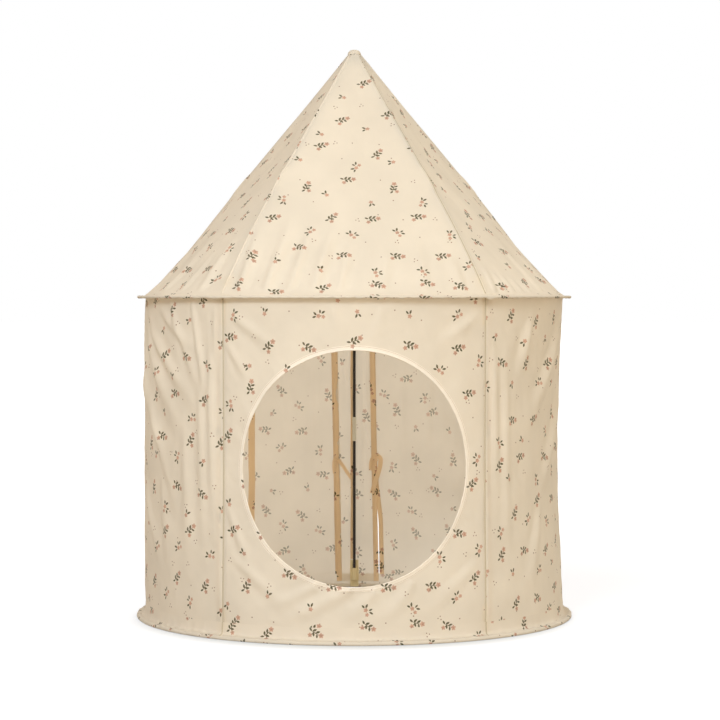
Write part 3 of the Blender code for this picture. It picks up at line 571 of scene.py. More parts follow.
# Wall: waist is how far each stretch of cloth pulls in between its poles, and held is how far from the foot,
# the head (as shares of the height) and the seams (in metres) the folds reach their full height
wall = {
    "waist": {0: 0.003, 72: 0.012, -72: -0.005, 144: 0.006, -144: 0.004},
    "profile": [
        (0.030, 0.0012), (0.080, 0.0022), (0.126, 0.0014), (0.26, -0.0010), (0.45, -0.0014), (0.63, -0.0004),
        (0.7300, 0.0),
    ],
    "seamDip": 0.0020, "seamWidth": 0.0045, "seamGap": 0.02, "frontGap": 0.0001, "plainBack": 20.0,
    "held": (0.04, 0.03, 0.012), "slack": ((11, 0.0013), (12, 0.0004, 0.02, 0.05)), "foldScale": 2.6,
    "folds": [
        # left side
        (-0.660, 0.700, -0.400, 0.400, 0.019, 0.0032), (-0.640, 0.715, -0.345, 0.470, 0.015, 0.0036),
        (-0.690, 0.600, -0.450, 0.330, 0.020, 0.0032), (-0.560, 0.725, -0.335, 0.590, 0.012, 0.0024),
        (-0.338, 0.700, -0.325, 0.150, 0.011, 0.0026), (-0.368, 0.620, -0.352, 0.090, 0.014, 0.0024),
        (-0.420, 0.480, -0.400, 0.080, 0.017, 0.0024), (-0.520, 0.380, -0.470, 0.070, 0.018, 0.0022),
        (-0.660, 0.360, -0.500, 0.100, 0.016, 0.0026), (-0.325, 0.728, -0.320, 0.560, 0.006, 0.0016),
        (-0.690, 0.725, -0.560, 0.360, 0.013, 0.0018, 0.3), (-0.480, 0.728, -0.350, 0.500, 0.010, 0.0022, 0.15),
        (-0.395, 0.728, -0.330, 0.440, 0.008, 0.0026, 0.10), (-0.600, 0.540, -0.430, 0.240, 0.014, 0.0024),
        # front, below and beside the doorway
        (-0.083, 0.120, -0.200, 0.062, 0.013, 0.0016, 0.0), (-0.010, 0.116, -0.176, 0.028, 0.016, 0.0018, 0.0),
        (0.045, 0.112, -0.035, 0.030, 0.014, 0.0013, 0.0), (0.125, 0.130, 0.060, 0.036, 0.014, 0.0013, 0.0),
        (-0.200, 0.052, -0.150, 0.036, 0.004, 0.0012), (-0.232, 0.505, -0.110, 0.615, 0.012, 0.0013),
        (-0.296, 0.300, -0.215, 0.120, 0.010, 0.0016), (-0.290, 0.190, -0.120, 0.060, 0.012, 0.0018),
        (-0.292, 0.705, -0.150, 0.610, 0.011, 0.0018), (-0.294, 0.640, -0.225, 0.540, 0.009, 0.0014),
        (0.292, 0.700, 0.170, 0.625, 0.011, 0.0014), (0.294, 0.180, 0.150, 0.060, 0.012, 0.0014),
        (-0.050, 0.722, -0.030, 0.640, 0.012, 0.0012), (0.060, 0.722, 0.050, 0.640, 0.010, 0.0012),
        # right side
        (0.318, 0.690, 0.345, 0.180, 0.012, 0.0022), (0.360, 0.640, 0.372, 0.090, 0.013, 0.0020),
        (0.660, 0.700, 0.430, 0.420, 0.018, 0.0034), (0.700, 0.560, 0.480, 0.240, 0.018, 0.0030),
        (0.460, 0.710, 0.400, 0.520, 0.014, 0.0022), (0.520, 0.300, 0.440, 0.070, 0.016, 0.0020),
        # back
        (1.000, 0.700, 1.180, 0.420, 0.016, 0.0030), (-1.000, 0.690, -1.160, 0.430, 0.016, 0.0030),
        (0.960, 0.500, 1.120, 0.180, 0.018, 0.0028), (-0.950, 0.520, -1.130, 0.200, 0.018, 0.0028),
        (1.300, 0.690, 1.330, 0.200, 0.013, 0.0016), (1.390, 0.640, 1.380, 0.120, 0.012, 0.0014),
        (-1.300, 0.690, -1.350, 0.240, 0.014, 0.0016), (-1.400, 0.620, -1.390, 0.120, 0.012, 0.0014),
        # strip
        (1.476, 0.715, 1.470, 0.120, 0.0050, 0.0011), (1.489, 0.600, 1.486, 0.060, 0.0045, 0.0010),
        (1.528, 0.715, 1.524, 0.380, 0.0050, 0.0010), (1.536, 0.562, 1.512, 0.487, 0.0040, 0.0012),
        (1.530, 0.330, 1.526, 0.080, 0.0050, 0.0010),
    ],
}


def wallRadius(azimuth, z):
    # outside radius of the cloth, for arrays of azimuth in degrees and height
    s = np.radians(azimuth) * tent["wallRadius"]
    heights, swell = zip(*wall["profile"])
    radius = tent["wallRadius"] + np.interp(z, heights, swell)
    wrapped = (azimuth + 180.0) % 360.0 - 180.0
    gore = np.round(wrapped / tent["gore"]) * tent["gore"]
    off = np.abs(wrapped - gore) / tent["halfGore"]
    rise = limited((z - tent["wallFoot"]) / (tent["wallHead"] - tent["wallFoot"]))
    hollow = np.sin(np.pi * rise) ** 0.8 * np.cos(np.pi / 2 * limited(off))
    depth = np.zeros_like(radius)
    for middle, value in wall["waist"].items():
        depth = np.where(np.abs(gore - middle) < 1.0, value, depth)
    # every seam but the back one is drawn in
    seamAway = (1.0 - off) * math.radians(tent["halfGore"]) * tent["wallRadius"]
    seamed = np.abs(np.abs(wrapped) - 180.0) >= wall["plainBack"]
    dip = wall["seamDip"] * bell(seamAway, wall["seamWidth"]) * seamed
    foot, head, beside = wall["held"]
    held = limited(rise / foot) * limited((1.0 - rise) / head) * limited(seamAway / beside)
    soft = foldHeights(s, z, wall["folds"]) * wall["foldScale"] + sum(slack(s, z, *row) for row in wall["slack"])
    return radius - depth * hollow - dip + soft * held


def wallPlaces(s, z, lift=0.0):
    azimuth = np.degrees(s / tent["wallRadius"])
    return placed(np.radians(azimuth), wallRadius(azimuth, z) + lift, z)


endSteps = (0.0, 0.0012, 0.0025, 0.004, 0.006, 0.009, 0.013)


def closeToEnds(low, high, step, edge=endSteps):
    # places from low to high, closer together at the ends
    count = max(2, round((high - low - 2 * edge[-1]) / step))
    middle = np.linspace(low + edge[-1], high - edge[-1], count + 1)
    return np.concatenate([[low + e for e in edge[:-1]], middle, [high - e for e in edge[:-1]][::-1]])


# Doorway: the panel's grid runs from the round hole out to the panel's straight edges
doorway = {
    "rings": 26, "spokes": 400, "crowd": 1.15, "clear": 0.0012, "shift": (0.031, 0.017),
    "hemWidth": 0.0098, "hemRise": 0.0012, "hemPoints": 760, "puckers": 0.0063, "pucker": 0.00022, "pull": 0.00012,
    # small puckers run out from the stitched hem: (count round the hole, phase), and how far out they set in and fade
    "ripples": ((61, 0.3), (97, 1.9), (38, 4.0)), "rippleFrom": 0.008, "rippleFade": 0.022,
    "groove": ((0.0083, 0.0003), (0.0080, 0.0006), (0.0076, 0.0006), (0.0073, 0.0003)),
}


def frontPanel():
    half = arcAt(tent["halfGore"]) - wall["frontGap"]
    low, high, middle = tent["wallFoot"], tent["wallHead"], tent["doorHeight"]
    turns = np.linspace(0.0, 2 * math.pi, doorway["spokes"], endpoint=False)
    for side, end in ((half, high), (-half, high), (-half, low), (half, low)):
        # the nearest spoke goes to the corner
        angle = math.atan2(end - middle, side) % (2 * math.pi)
        turns[np.argmin(np.abs(turns - angle))] = angle
    cosine, sine = np.cos(turns), np.sin(turns)
    reach = np.full_like(turns, np.inf)
    for limit, part in ((half, cosine), (-half, cosine), (high - middle, sine), (low - middle, sine)):
        with np.errstate(divide="ignore", invalid="ignore"):
            far = np.where(np.abs(part) > 1e-9, limit / part, np.inf)
        reach = np.where((far > 0) & (far < reach), far, reach)
    share = np.linspace(0.0, 1.0, doorway["rings"])[::-1] ** doorway["crowd"]
    hole = tent["doorRadius"] + doorway["clear"]
    out = hole + (reach[None, :] - hole) * share[:, None]
    s, z = out * cosine, middle + out * sine
    ripple = sum(np.sin(turns * count + phase) for count, phase in doorway["ripples"]) * doorway["pucker"]
    away = out - hole
    lift = ripple * np.exp(-away / doorway["rippleFade"]) * limited(away / doorway["rippleFrom"])
    marks = flatMarks(s, z, doorway["shift"])
    return gridPiece("frontCloth", wallPlaces(s, z, lift), marks, "printedCotton", wrap=True)


def sidePanel(name, start, end, shift):
    along = closeToEnds(arcAt(start), arcAt(end), 0.0058)
    s, z = np.meshgrid(along, np.linspace(tent["wallFoot"], tent["wallHead"], 110))
    return gridPiece(name, wallPlaces(s, z), flatMarks(s, z, shift), "printedCotton")


front = dress(frontPanel(), "base", wallFold, ["front_panel"])
for side, sign, shift in (("left", -1, (0.05, 0.033)), ("right", 1, (0.013, 0.071))):
    start = tent["halfGore"] + wall["seamGap"]
    end = tent["halfGore"] + tent["gore"] - wall["seamGap"]
    panel = sidePanel(f"sideCloth.{side}", *sorted((sign * start, sign * end)), shift)
    dress(panel, "base", wallFold, [f"side_panel_{side}"])
print("front and side cloth cut")


# Back: two panels with a curtain in each, and the strip between the two slits
back = {
    "rows": ((tent["wallFoot"], 0.7000, 100), (0.7050, tent["wallHead"], 5)), "height": 0.6955,
    "stripFoot": 0.0165, "curtainFoot": 0.0343, "curtainHead": 0.69995, "curtainHeight": 0.6655,
    # how far each slit stands to the right of its place, at the top and at the foot
    "lean": {1: (-0.0025, 0.0105), -1: (-0.0065, 0.0070)},
    # how far a curtain's edge tucks behind the strip (+) or gapes (-), above and below the tie
    "tuck": {1: (0.0070, -0.0062), -1: (0.0005, 0.0005)},
    # how far a curtain sways from the wall, in waves up its height, and how far it stands off where it is tucked in
    "sway": 0.0016, "swayWaves": 13.0, "standOff": 0.0016,
    "stripHem": {"width": 0.0128, "over": 0.0040, "stand": 0.0014},
    "curtainHem": {"width": {1: 0.0122, -1: 0.0078}},
    # across a hem, as shares of its width, and how far each place stands from the cloth
    "hemSteps": (0.0, 0.04, 0.12, 0.30, 0.50, 0.64, 0.76, 0.84, 0.95, 1.0),
    "hemLifts": (0.0004, -0.0005, -0.0011, -0.0012, -0.0010, -0.0012, -0.0011, -0.0004, -0.0008, 0.0002),
    "hemShift": (0.4, 0.2), "hemWave": 0.021, "hemWaveHeight": 0.00025, "stitchAt": 0.84,
}
stripEdge = 180.0 - math.degrees(tent["stripHalf"] / tent["wallRadius"])
hingeArc, slitArc = arcAt(tent["hingeAt"]), arcAt(stripEdge)


def slitLean(z, sign):
    # the slits run a little to one side on their way down
    top, foot = back["lean"][sign]
    fall = 1.0 - limited((z - tent["wallFoot"]) / (tent["wallHead"] - tent["wallFoot"]))
    return -(top + (foot - top) * fall)


def slitTuck(z, sign):
    above, below = back["tuck"][sign]
    return above + (below - above) * smooth(limited((tent["tieHeight"] - 0.02 - z) / 0.16))


def curtainShare(s):
    # how far from the sewn edge to the slit
    return limited((np.abs(s) - hingeArc) / (slitArc - hingeArc))


def rearPanel(side, sign, shift):
    outer = closeToEnds(arcAt(tent["halfGore"] + tent["gore"] + wall["seamGap"]), hingeArc, 0.0065)
    along = np.concatenate([outer, closeToEnds(hingeArc, slitArc, 0.0065)[1:]]) * sign
    up = np.concatenate([np.linspace(*span) for span in back["rows"]])
    if sign < 0:
        along = along[::-1]
    s, z = np.meshgrid(along, up)
    middle = (np.abs(along[:-1]) + np.abs(along[1:])) / 2
    opening = (middle > hingeArc)[None, :] & (up[:-1] < back["curtainHead"])[:, None]
    points = wallPlaces(s + slitLean(z, sign) * curtainShare(s), z)
    return gridPiece(f"rearCloth.{side}", points, flatMarks(s, z, shift), "printedCotton", skip=opening)


def curtainGrid(sign, along, up):
    # a curtain's cloth laid flat, and how it hangs, following the strip's edge
    flat, z = np.meshgrid(along, up)
    return flat, flat + (slitLean(z, sign) + sign * slitTuck(z, sign)) * curtainShare(flat), z


def looseness(flat, z, sign):
    # the free edge of a curtain stands out from the strip where it tucks behind it, and hangs a little unevenly
    share = curtainShare(flat)
    sway = back["sway"] * share * np.abs(np.sin(z * back["swayWaves"] + sign))
    sway = sway * limited((z - 0.05) / 0.1) * limited((0.68 - z) / 0.1) * (1.0 - bell(z - tent["tieHeight"], 0.05))
    behind = back["standOff"] * limited((share - 0.80) / 0.12) * limited(slitTuck(z, sign) / 0.002)
    return sway + behind * limited((0.6990 - z) / 0.02)


def curtainPiece(side, sign, shift):
    along = closeToEnds(hingeArc, slitArc, 0.0062)
    if sign < 0:
        along = -along[::-1]
    flat, s, z = curtainGrid(sign, along, np.linspace(back["curtainFoot"], back["curtainHead"], 105))
    points = wallPlaces(s, z, looseness(flat, z, sign))
    return gridPiece(f"curtainCloth.{side}", points, flatMarks(flat, z, shift), "printedCotton")


def slitHem(name, sign, onCurtain):
    # the turned-in edge along a slit, which shows the right side of the print indoors
    steps, lifts = np.array(back["hemSteps"]), np.array(back["hemLifts"])
    if onCurtain:
        steps = steps * back["curtainHem"]["width"][sign]
        up = np.linspace(back["curtainFoot"], back["curtainHead"], 140)
        along = (slitArc - steps) * sign
    else:
        hem = back["stripHem"]
        steps = steps * hem["width"] - hem["over"]
        lifts = lifts - hem["stand"] * limited((0.0035 - steps) / 0.003)
        up = np.linspace(back["stripFoot"], tent["wallHead"], 140)
        along = (slitArc + steps) * sign
    if along[0] > along[-1]:
        along, lifts = along[::-1], lifts[::-1]
    if onCurtain:
        flat, s, z = curtainGrid(sign, along, up)
    else:
        flat, z = np.meshgrid(along, up)
        s = flat + slitLean(z, sign)
    lift = lifts + back["hemWaveHeight"] * np.sin(z * fullTurn / back["hemWave"] + sign) * (lifts < -0.0005)
    if onCurtain:
        lift = lift + looseness(flat, z, sign)
    return gridPiece(name, wallPlaces(s, z, lift), flatMarks(flat, z, back["hemShift"]), "hemCottonPaintedShade")


def stripPiece(shift):
    low, high = slitArc, arcAt(360.0 - stripEdge)
    flat, z = np.meshgrid(closeToEnds(low, high, 0.0028), np.linspace(back["stripFoot"], tent["wallHead"], 130))
    share = (flat - low) / (high - low)
    lean = slitLean(z, 1) * (1.0 - share) + slitLean(z, -1) * share
    return gridPiece("stripCloth", wallPlaces(flat + lean, z), flatMarks(flat, z, shift), "printedCotton")


for side, sign, shift in (("left", -1, (0.027, 0.052)), ("right", 1, (0.044, 0.008))):
    panel = dress(rearPanel(side, sign, shift), "base", wallFold, [f"rear_panel_{side}"])
    body = f"curtain_{side}"
    dress(curtainPiece(side, sign, shift), body, wallFold, [body])
    dress(slitHem(f"curtainHem.{side}", sign, True), body, wallFold)
strip = dress(stripPiece((0.061, 0.024)), "base", wallFold, ["rear_strip"])
stripHems = [dress(slitHem(f"stripHem.{side}", sign, False), "base", wallFold) for side, sign in bothSides]
print("rear cloth and curtains hung")


# Doorway hem, folded over the edge and stitched down
def doorPlaces(turns, spread, lift):
    s = (tent["doorRadius"] + spread) * np.cos(turns)
    z = tent["doorHeight"] + (tent["doorRadius"] + spread) * np.sin(turns)
    return s, z, wallPlaces(s, z, lift)


def doorRing(name, section, shift, finish):
    # section is what each row of the ring calls doorPlaces with
    turns = np.linspace(0.0, 2 * math.pi, doorway["hemPoints"], endpoint=False)
    places = [doorPlaces(turns, spread, lift) for spread, lift in section]
    marks = [flatMarks(s, z, shift) for s, z, _ in places]
    return gridPiece(name, np.array([points for *_, points in places]), np.array(marks), finish, wrap=True)


def doorwayHem():
    width, rise = doorway["hemWidth"], doorway["hemRise"]
    # across the band, from the inside over the edge to the outside: spread and height off the cloth, as shares
    # of the width and the rise or in metres, and how much it puckers
    section = [
        (width, -0.0003, 0.0), (width - 0.0004, -rise * 0.8, 0.4), (width * 0.72, -rise, 0.2),
        (width * 0.45, -rise * 0.9, 1.0), (0.0008, -rise, 0.7), (-0.0006, -rise * 0.7, 0.5), (-0.0011, 0.0, 0.5),
        (-0.0008, rise * 0.9, 0.5), (0.0004, rise * 1.35, 0.6), (0.0016, rise * 1.15, 0.7),
        (0.0024, rise * 0.62, 0.6), (width * 0.38, rise * 0.66, 1.0), (width * 0.60, rise * 0.72, 1.0),
        (width * 0.74, rise * 0.45, 0.3), (width * 0.78, rise * 0.12, 0.1), (width * 0.84, rise * 0.58, 0.5),
        (width - 0.0008, rise * 0.78, 0.7), (width - 0.0002, rise * 0.40, 0.4), (width, 0.0000, 0.0),
    ]
    turns = np.linspace(0.0, 2 * math.pi, doorway["hemPoints"], endpoint=False)
    chance = random.Random(5)
    offsets = [(chance.uniform(0.6, 1.6), chance.uniform(0, fullTurn)) for _ in range(5)]
    arc = turns * tent["doorRadius"]
    wave = sum(np.sin(arc * fullTurn / doorway["puckers"] * share + phase) for share, phase in offsets) / 2.2
    puckered = [
        (spread + share * wave * doorway["pull"], lift + share * wave * doorway["pucker"] * (1 if lift >= 0 else -1))
        for spread, lift, share in section[::-1]
    ]
    # its finish paints a highlight on the band
    return doorRing("doorwayHem", puckered, doorway["shift"], "bindingCottonPaintedHighlight")


dress(doorwayHem(), "base", wallFold, ["door_binding"])
# the shadowed line that the stitches pull in
dress(doorRing("doorwayGroove", doorway["groove"], (0.0, 0.0), "grooveShade"), "base", wallFold)


# Brim and foot hem: rings of folded cloth over the spring hoops
def ringWaves(turns, waves, seed):
    # waves are (length round the ring, radial height, upright height)
    chance = random.Random(seed)
    out, up = np.zeros_like(turns), np.zeros_like(turns)
    for length, radial, upright in waves:
        count = round(2 * math.pi * tent["wallRadius"] / length)
        phase = chance.uniform(0, fullTurn)
        strength = 0.6 + 0.4 * np.sin(turns * chance.randint(2, 7) + chance.uniform(0, fullTurn))
        out += radial * strength * np.sin(count * turns + phase)
        up += upright * strength * np.sin(count * turns + phase + 1.3)
    return out, up


def ringSeed(profile, columns):
    return len(profile) * 7 + columns


def ringPiece(name, profile, columns, waves, marksAt):
    # profile rows are (radius, height, how loose, and what makes it sag)
    turns = np.linspace(0.0, 2 * math.pi, columns, endpoint=False)
    out, up = ringWaves(turns, waves, ringSeed(profile, columns))
    s = np.append(turns, 2 * math.pi) * tent["wallRadius"]
    rows, marks, run, last = [], [], 0.0, profile[0]
    for radius, z, loose, *sag in profile:
        run += math.hypot(radius - last[0], z - last[1])
        last = (radius, z)
        droop = sag[0](turns) if sag else 0.0
        rows.append(placed(turns, radius + out * loose, z + up * loose + droop))
        marks.append(flatMarks(s, run, marksAt))
    return gridPiece(name, np.array(rows), np.array(marks), "printedCotton", wrap=True)


ringColumns = 900
brim = {
    "outer": tent["brimRadius"], "half": 0.0029,
    "waves": [(0.022, 0.0005, 0.0007), (0.041, 0.0005, 0.0006), (0.011, 0.0002, 0.0003)],
    # it droops at each pole: (azimuth, depth), over this many degrees
    "droops": ((36.0, 0.0034), (-36.0, 0.0014), (108.0, 0.0018), (-108.0, 0.0018), (180.0, 0.0018)), "droopWidth": 1.1,
}


def brimDroop(turns):
    total = np.zeros_like(turns)
    for azimuth, depth in brim["droops"]:
        away = (np.degrees(turns) - azimuth + 180.0) % 360.0 - 180.0
        total -= depth * bell(away, brim["droopWidth"])
    return total


def brimProfile():
    # from the wall out underneath, round the hoop and back over it to the roof's foot
    level, half, outer = tent["eave"], brim["half"], brim["outer"]
    return [
        (0.4782, level - half * 0.55, 0.0), (0.4812, level - half * 0.62, 0.3), (0.4850, level - half * 0.60, 0.6),
        (0.4895, level - half * 0.70, 0.9), (outer - 0.0042, level - half * 0.95, 1.0),
        (outer - 0.0018, level - half * 0.85, 1.0, brimDroop), (outer - 0.0005, level - half * 0.45, 1.0, brimDroop),
        (outer, level, 0.8), (outer - 0.0005, level + half * 0.5, 0.6), (outer - 0.0018, level + half * 0.92, 0.6),
        (outer - 0.0042, level + half, 0.7), (outer - 0.0066, level + half * 0.78, 0.9),
        (0.4880, level + half * 0.72, 0.8), (0.4835, level + half * 0.95, 0.5), (0.4802, level + half * 1.25, 0.2),
        (0.4783, 0.7367, 0.0), (0.4776, 0.7377, 0.0),
    ]


brimPiece = ringPiece("eaveBrim", brimProfile(), ringColumns, brim["waves"], (0.017, 0.044))
dress(brimPiece, "eave", None, ["eave_brim"])

# The foot hem's casing goes round the base hoop from below, and its turned-in edge runs up the hoop's inner side
footHem = {
    "casing": [
        (0.4862, 0.0005, 0.2), (0.4905, 0.0004, 0.1), (0.4965, 0.0003, 0.0), (0.4990, 0.0007, 0.1),
        (0.5001, 0.0020, 0.3), (0.5003, 0.0040, 0.4), (0.4998, 0.0060, 0.5), (0.4984, 0.0076, 0.6),
        (0.4962, 0.0086, 0.7), (0.4938, 0.0087, 0.8), (0.4918, 0.0083, 0.8), (0.4890, 0.0083, 0.9),
        (0.4862, 0.0086, 0.9), (0.4838, 0.0095, 0.8), (0.4820, 0.0116, 0.7), (0.4810, 0.0155, 0.5),
        (0.4806, 0.0220, 0.3), (0.4802, 0.0290, 0.1), (0.4801, 0.0353, 0.0),
    ],
    "slopeFrom": 10,
    "turnedIn": [
        (0.4862, 0.0004, 0.1), (0.4822, 0.0005, 0.1), (0.4803, 0.0010, 0.2), (0.4793, 0.0030, 0.3),
        (0.4792, 0.0060, 0.3), (0.4803, 0.0100, 0.2),
    ],
    "waves": [(0.026, 0.0007, 0.0009), (0.058, 0.0008, 0.0010), (0.012, 0.0002, 0.0003), (0.110, 0.0008, 0.0006)],
}
casing = footHem["casing"]
casingRun = sum(math.hypot(b[0] - a[0], b[1] - a[1]) for a, b in zip(casing, casing[1:]))
casingMarks = (doorway["shift"][0], tent["wallFoot"] + doorway["shift"][1] - casingRun)
footPiece = ringPiece("footHem", casing, ringColumns, footHem["waves"], casingMarks)
dress(footPiece, "base", None, ["base_hem"])
liningPiece = ringPiece("footLining", footHem["turnedIn"], 600, footHem["waves"][:2], (0.031, 0.002))
dress(liningPiece, "base", None, ["base_hem"])
print("brim and foot hem folded")

# Roof: five gores over the bowed poles, each with its middle's azimuth, where it lies on the print, and its folds
roof = {
    "outward": 0.7658, "upward": 0.6431, "top": 0.012, "slope": 0.735, "sag": 0.0030, "under": 0.0003,
    "ridge": {0.0: 0.0006}, "plainRidge": 0.0024, "ridgeAt": 0.0032, "ridgeWidth": 0.0016,
    "lowRidge": 0.0007, "lowRidgeAt": 0.0030, "lowRidgeWidth": 0.0018,
    "groove": 0.0019, "grooveWidth": 0.0013, "line": 0.0020, "foldScale": 2.8,
    "lump": 0.0026, "lumpAt": 0.990, "lumpHalf": 0.024, "lumpWidth": 0.0068,
    "gores": {
        "front": (0.0, (0.010, 0.030), [
            (-0.245, 0.739, -0.195, 0.905, 0.011, 0.0030, 0.1), (-0.190, 0.739, -0.118, 0.940, 0.013, 0.0032, 0.1),
            (-0.140, 0.739, -0.085, 0.900, 0.010, 0.0024, 0.1), (-0.088, 0.739, -0.030, 0.930, 0.012, 0.0026, 0.1),
            (-0.035, 0.739, 0.002, 0.880, 0.011, 0.0020, 0.1), (0.060, 0.739, 0.070, 0.860, 0.013, 0.0014, 0.1),
            (0.150, 0.739, 0.130, 0.880, 0.014, 0.0016, 0.1), (0.235, 0.739, 0.195, 0.840, 0.010, 0.0016, 0.1),
        ]),
        "right": (72.0, (0.063, 0.014), [
            (-0.255, 0.739, -0.225, 0.800, 0.0045, 0.0022, 0.05), (-0.225, 0.739, -0.205, 0.790, 0.0040, 0.0022, 0.05),
            (-0.200, 0.739, -0.185, 0.785, 0.0045, 0.0020, 0.05), (-0.170, 0.739, -0.160, 0.780, 0.0045, 0.0018, 0.05),
            (-0.140, 0.739, -0.130, 0.775, 0.0050, 0.0014, 0.05), (-0.080, 0.739, -0.050, 0.860, 0.0120, 0.0022, 0.1),
            (0.020, 0.739, 0.020, 0.880, 0.0140, 0.0016, 0.1), (0.130, 0.739, 0.100, 0.880, 0.0130, 0.0005, 0.1),
        ]),
        "left": (-72.0, (0.028, 0.066), [
            (0.215, 0.739, 0.165, 0.880, 0.0110, 0.0018, 0.1), (0.150, 0.739, 0.115, 0.860, 0.0110, 0.0013, 0.1),
            (0.060, 0.739, 0.045, 0.880, 0.0140, 0.0013, 0.1), (-0.060, 0.739, -0.040, 0.880, 0.0140, 0.0009, 0.1),
            (-0.170, 0.739, -0.120, 0.860, 0.0120, 0.0005, 0.1),
        ]),
        "back_right": (144.0, (0.050, 0.046), [
            (-0.180, 0.739, -0.130, 0.880, 0.0120, 0.0024, 0.1), (-0.040, 0.739, -0.020, 0.900, 0.0140, 0.0024, 0.1),
            (0.110, 0.739, 0.080, 0.880, 0.0120, 0.0022, 0.1), (0.220, 0.739, 0.180, 0.850, 0.0100, 0.0022, 0.1),
        ]),
        "back_left": (-144.0, (0.008, 0.082), [
            (-0.200, 0.739, -0.150, 0.860, 0.0110, 0.0024, 0.1), (-0.070, 0.739, -0.050, 0.880, 0.0140, 0.0022, 0.1),
            (0.060, 0.739, 0.050, 0.900, 0.0140, 0.0024, 0.1), (0.180, 0.739, 0.140, 0.860, 0.0120, 0.0022, 0.1),
        ]),
    },
}


def seamRadius(fall):
    # fall is 0 at the top and 1 at the eave, and the bow is widest two thirds of the way down
    return tent["tip"] + (tent["wallRadius"] - tent["tip"]) * fall + tent["bow"] * 27 / 4 * fall * fall * (1 - fall)


def roofHeight(fall):
    return tent["top"] - fall * (tent["top"] - tent["roofFoot"])


def ferruleLump(z):
    return roof["lump"] * np.exp(-((z - roof["lumpAt"]) / roof["lumpHalf"]) ** 4)


def goreRadius(fall, off):
    # round at the eave, flat between the seams above
    seam = seamRadius(fall)
    flat = seam * math.cos(math.radians(tent["halfGore"])) / np.cos(np.radians(off))
    share = 1.0 - np.exp(-((1.0 - fall) / tent["roundReach"]) ** 0.75)
    above = limited((tent["flatFrom"] - fall) / (tent["flatFrom"] - tent["flatTo"]))
    return seam + (flat - seam) * (share + (1.0 - share) * smooth(above))


def goreGrid():
    edge = np.array([0.0, 0.0008, 0.0018, 0.0028, 0.0040, 0.0052, 0.0068, 0.0090, 0.0120])
    falls = 1.0 - closeToEnds(0.0, 1.0 - roof["top"], 0.0086, (0.0, 0.0022, 0.0050, 0.0080, 0.0120, 0.0170))
    half = (math.radians(tent["halfGore"]) * seamRadius(falls))[:, None]
    scale = limited(half / 0.030)
    left = edge[None, :-1] * scale
    middle = np.linspace(-1.0, 1.0, 88)[None, :] * (half - edge[-1] * scale)
    s = np.concatenate([left - half, middle, (half - left)[:, ::-1]], axis=1)
    return s, np.broadcast_to(falls[:, None], s.shape), half


def gorePiece(name, middle, shift, folds):
    s, fall, half = goreGrid()
    off = s / half * tent["halfGore"]
    z = roofHeight(fall)
    radius = goreRadius(fall, off)
    x = radius * np.sin(np.radians(off))
    right, left = half - s, half + s
    nearest = np.minimum(right, left)
    ridge = roof["ridge"].get(middle, roof["plainRidge"]) * bell(right - roof["ridgeAt"], roof["ridgeWidth"])
    ridge += roof["lowRidge"] * bell(left - roof["lowRidgeAt"], roof["lowRidgeWidth"])
    groove = roof["groove"] * (bell(right, roof["grooveWidth"]) + bell(left, roof["grooveWidth"]))
    lump = ferruleLump(z) * bell(nearest, roof["lumpWidth"])
    eased = limited((1.0 - fall) / 0.012) * np.clip(half / 0.02, 0.4, 1.0)
    held = limited(nearest / 0.018) * limited((1.0 - fall) / 0.02) * limited(half / 0.05)
    seed = int(middle) + 200
    soft = foldHeights(x, z, folds) * roof["foldScale"]
    soft += slack(x, z, seed, 0.0014) + slack(x, z, seed + 1, 0.0003, 0.02, 0.05)
    soft -= roof["sag"] * np.sin(np.pi * fall) * limited(1 - (s / half) ** 2)
    push = (ridge - groove + lump) * eased + soft * held
    points = placed(
        np.radians(off + middle), radius - roof["under"] + push * roof["outward"], z + push * roof["upward"])
    return gridPiece(name, points, flatMarks(x, (1.0 - fall) * roof["slope"], shift), "printedCotton")


def roofSeamLine(name, azimuth):
    # the thread and shadow at the bottom of the groove between two gores; those to the right lie in shade
    shaded = azimuth > 0
    fall = np.linspace(0.03, 0.997, 110)[::-1]
    radius, z = seamRadius(fall), roofHeight(fall)
    eased = limited((1.0 - fall) / 0.012) * np.clip(math.radians(tent["halfGore"]) * radius / 0.02, 0.4, 1.0)
    depth = roof["under"] + (roof["groove"] * (0.15 if shaded else 1.0) - ferruleLump(z)) * eased
    width = roof["line"] * (0.4 + 1.2 * fall if shaded else 1.0)
    rows, marks = [], []
    for across, lift in ((-0.5, 0.0002), (-0.2, 0.0006), (0.2, 0.0006), (0.5, 0.0002)):
        out = radius - (depth - lift) * roof["outward"]
        rows.append(placed(math.radians(azimuth) + across * width / out, out, z - (depth - lift) * roof["upward"]))
        marks.append(flatMarks(across * roof["line"], (1.0 - fall) * roof["slope"]))
    finish = "seamShade" if shaded else "creamShade"
    return gridPiece(name, np.stack(rows, axis=1), np.stack(marks, axis=1), finish)


for title, (middle, shift, folds) in roof["gores"].items():
    gore = gorePiece(f"roofGore.{title}", middle, shift, folds)
    dress(gore, "eave", roofFold, ["roof_canopy"])


def apexCap():
    # the gores' tips are gathered under a small round of the same cloth
    profile = [
        (0.0150, 1.2880), (0.0143, 1.2912), (0.0128, 1.2942), (0.0104, 1.2966), (0.0072, 1.2981),
        (0.0036, 1.2988), (0.0002, 1.2990),
    ]
    turns = np.linspace(0.0, 2 * math.pi, 60, endpoint=False)
    crimp = 1.0 + 0.035 * np.cos(5 * (turns - math.pi)) + 0.020 * np.sin(17 * turns)
    rows = [placed(turns, radius * crimp, z) for radius, z in profile]
    marks = [flatMarks(np.sin(turns) * radius, np.cos(turns) * radius, (0.021, 0.066)) for radius, _ in profile]
    return gridPiece("apexCap", np.array(rows), np.array(marks), "printedCotton", wrap=True)


dress(apexCap(), "eave", roofFold, ["roof_canopy"])
print("roof gores sewn")


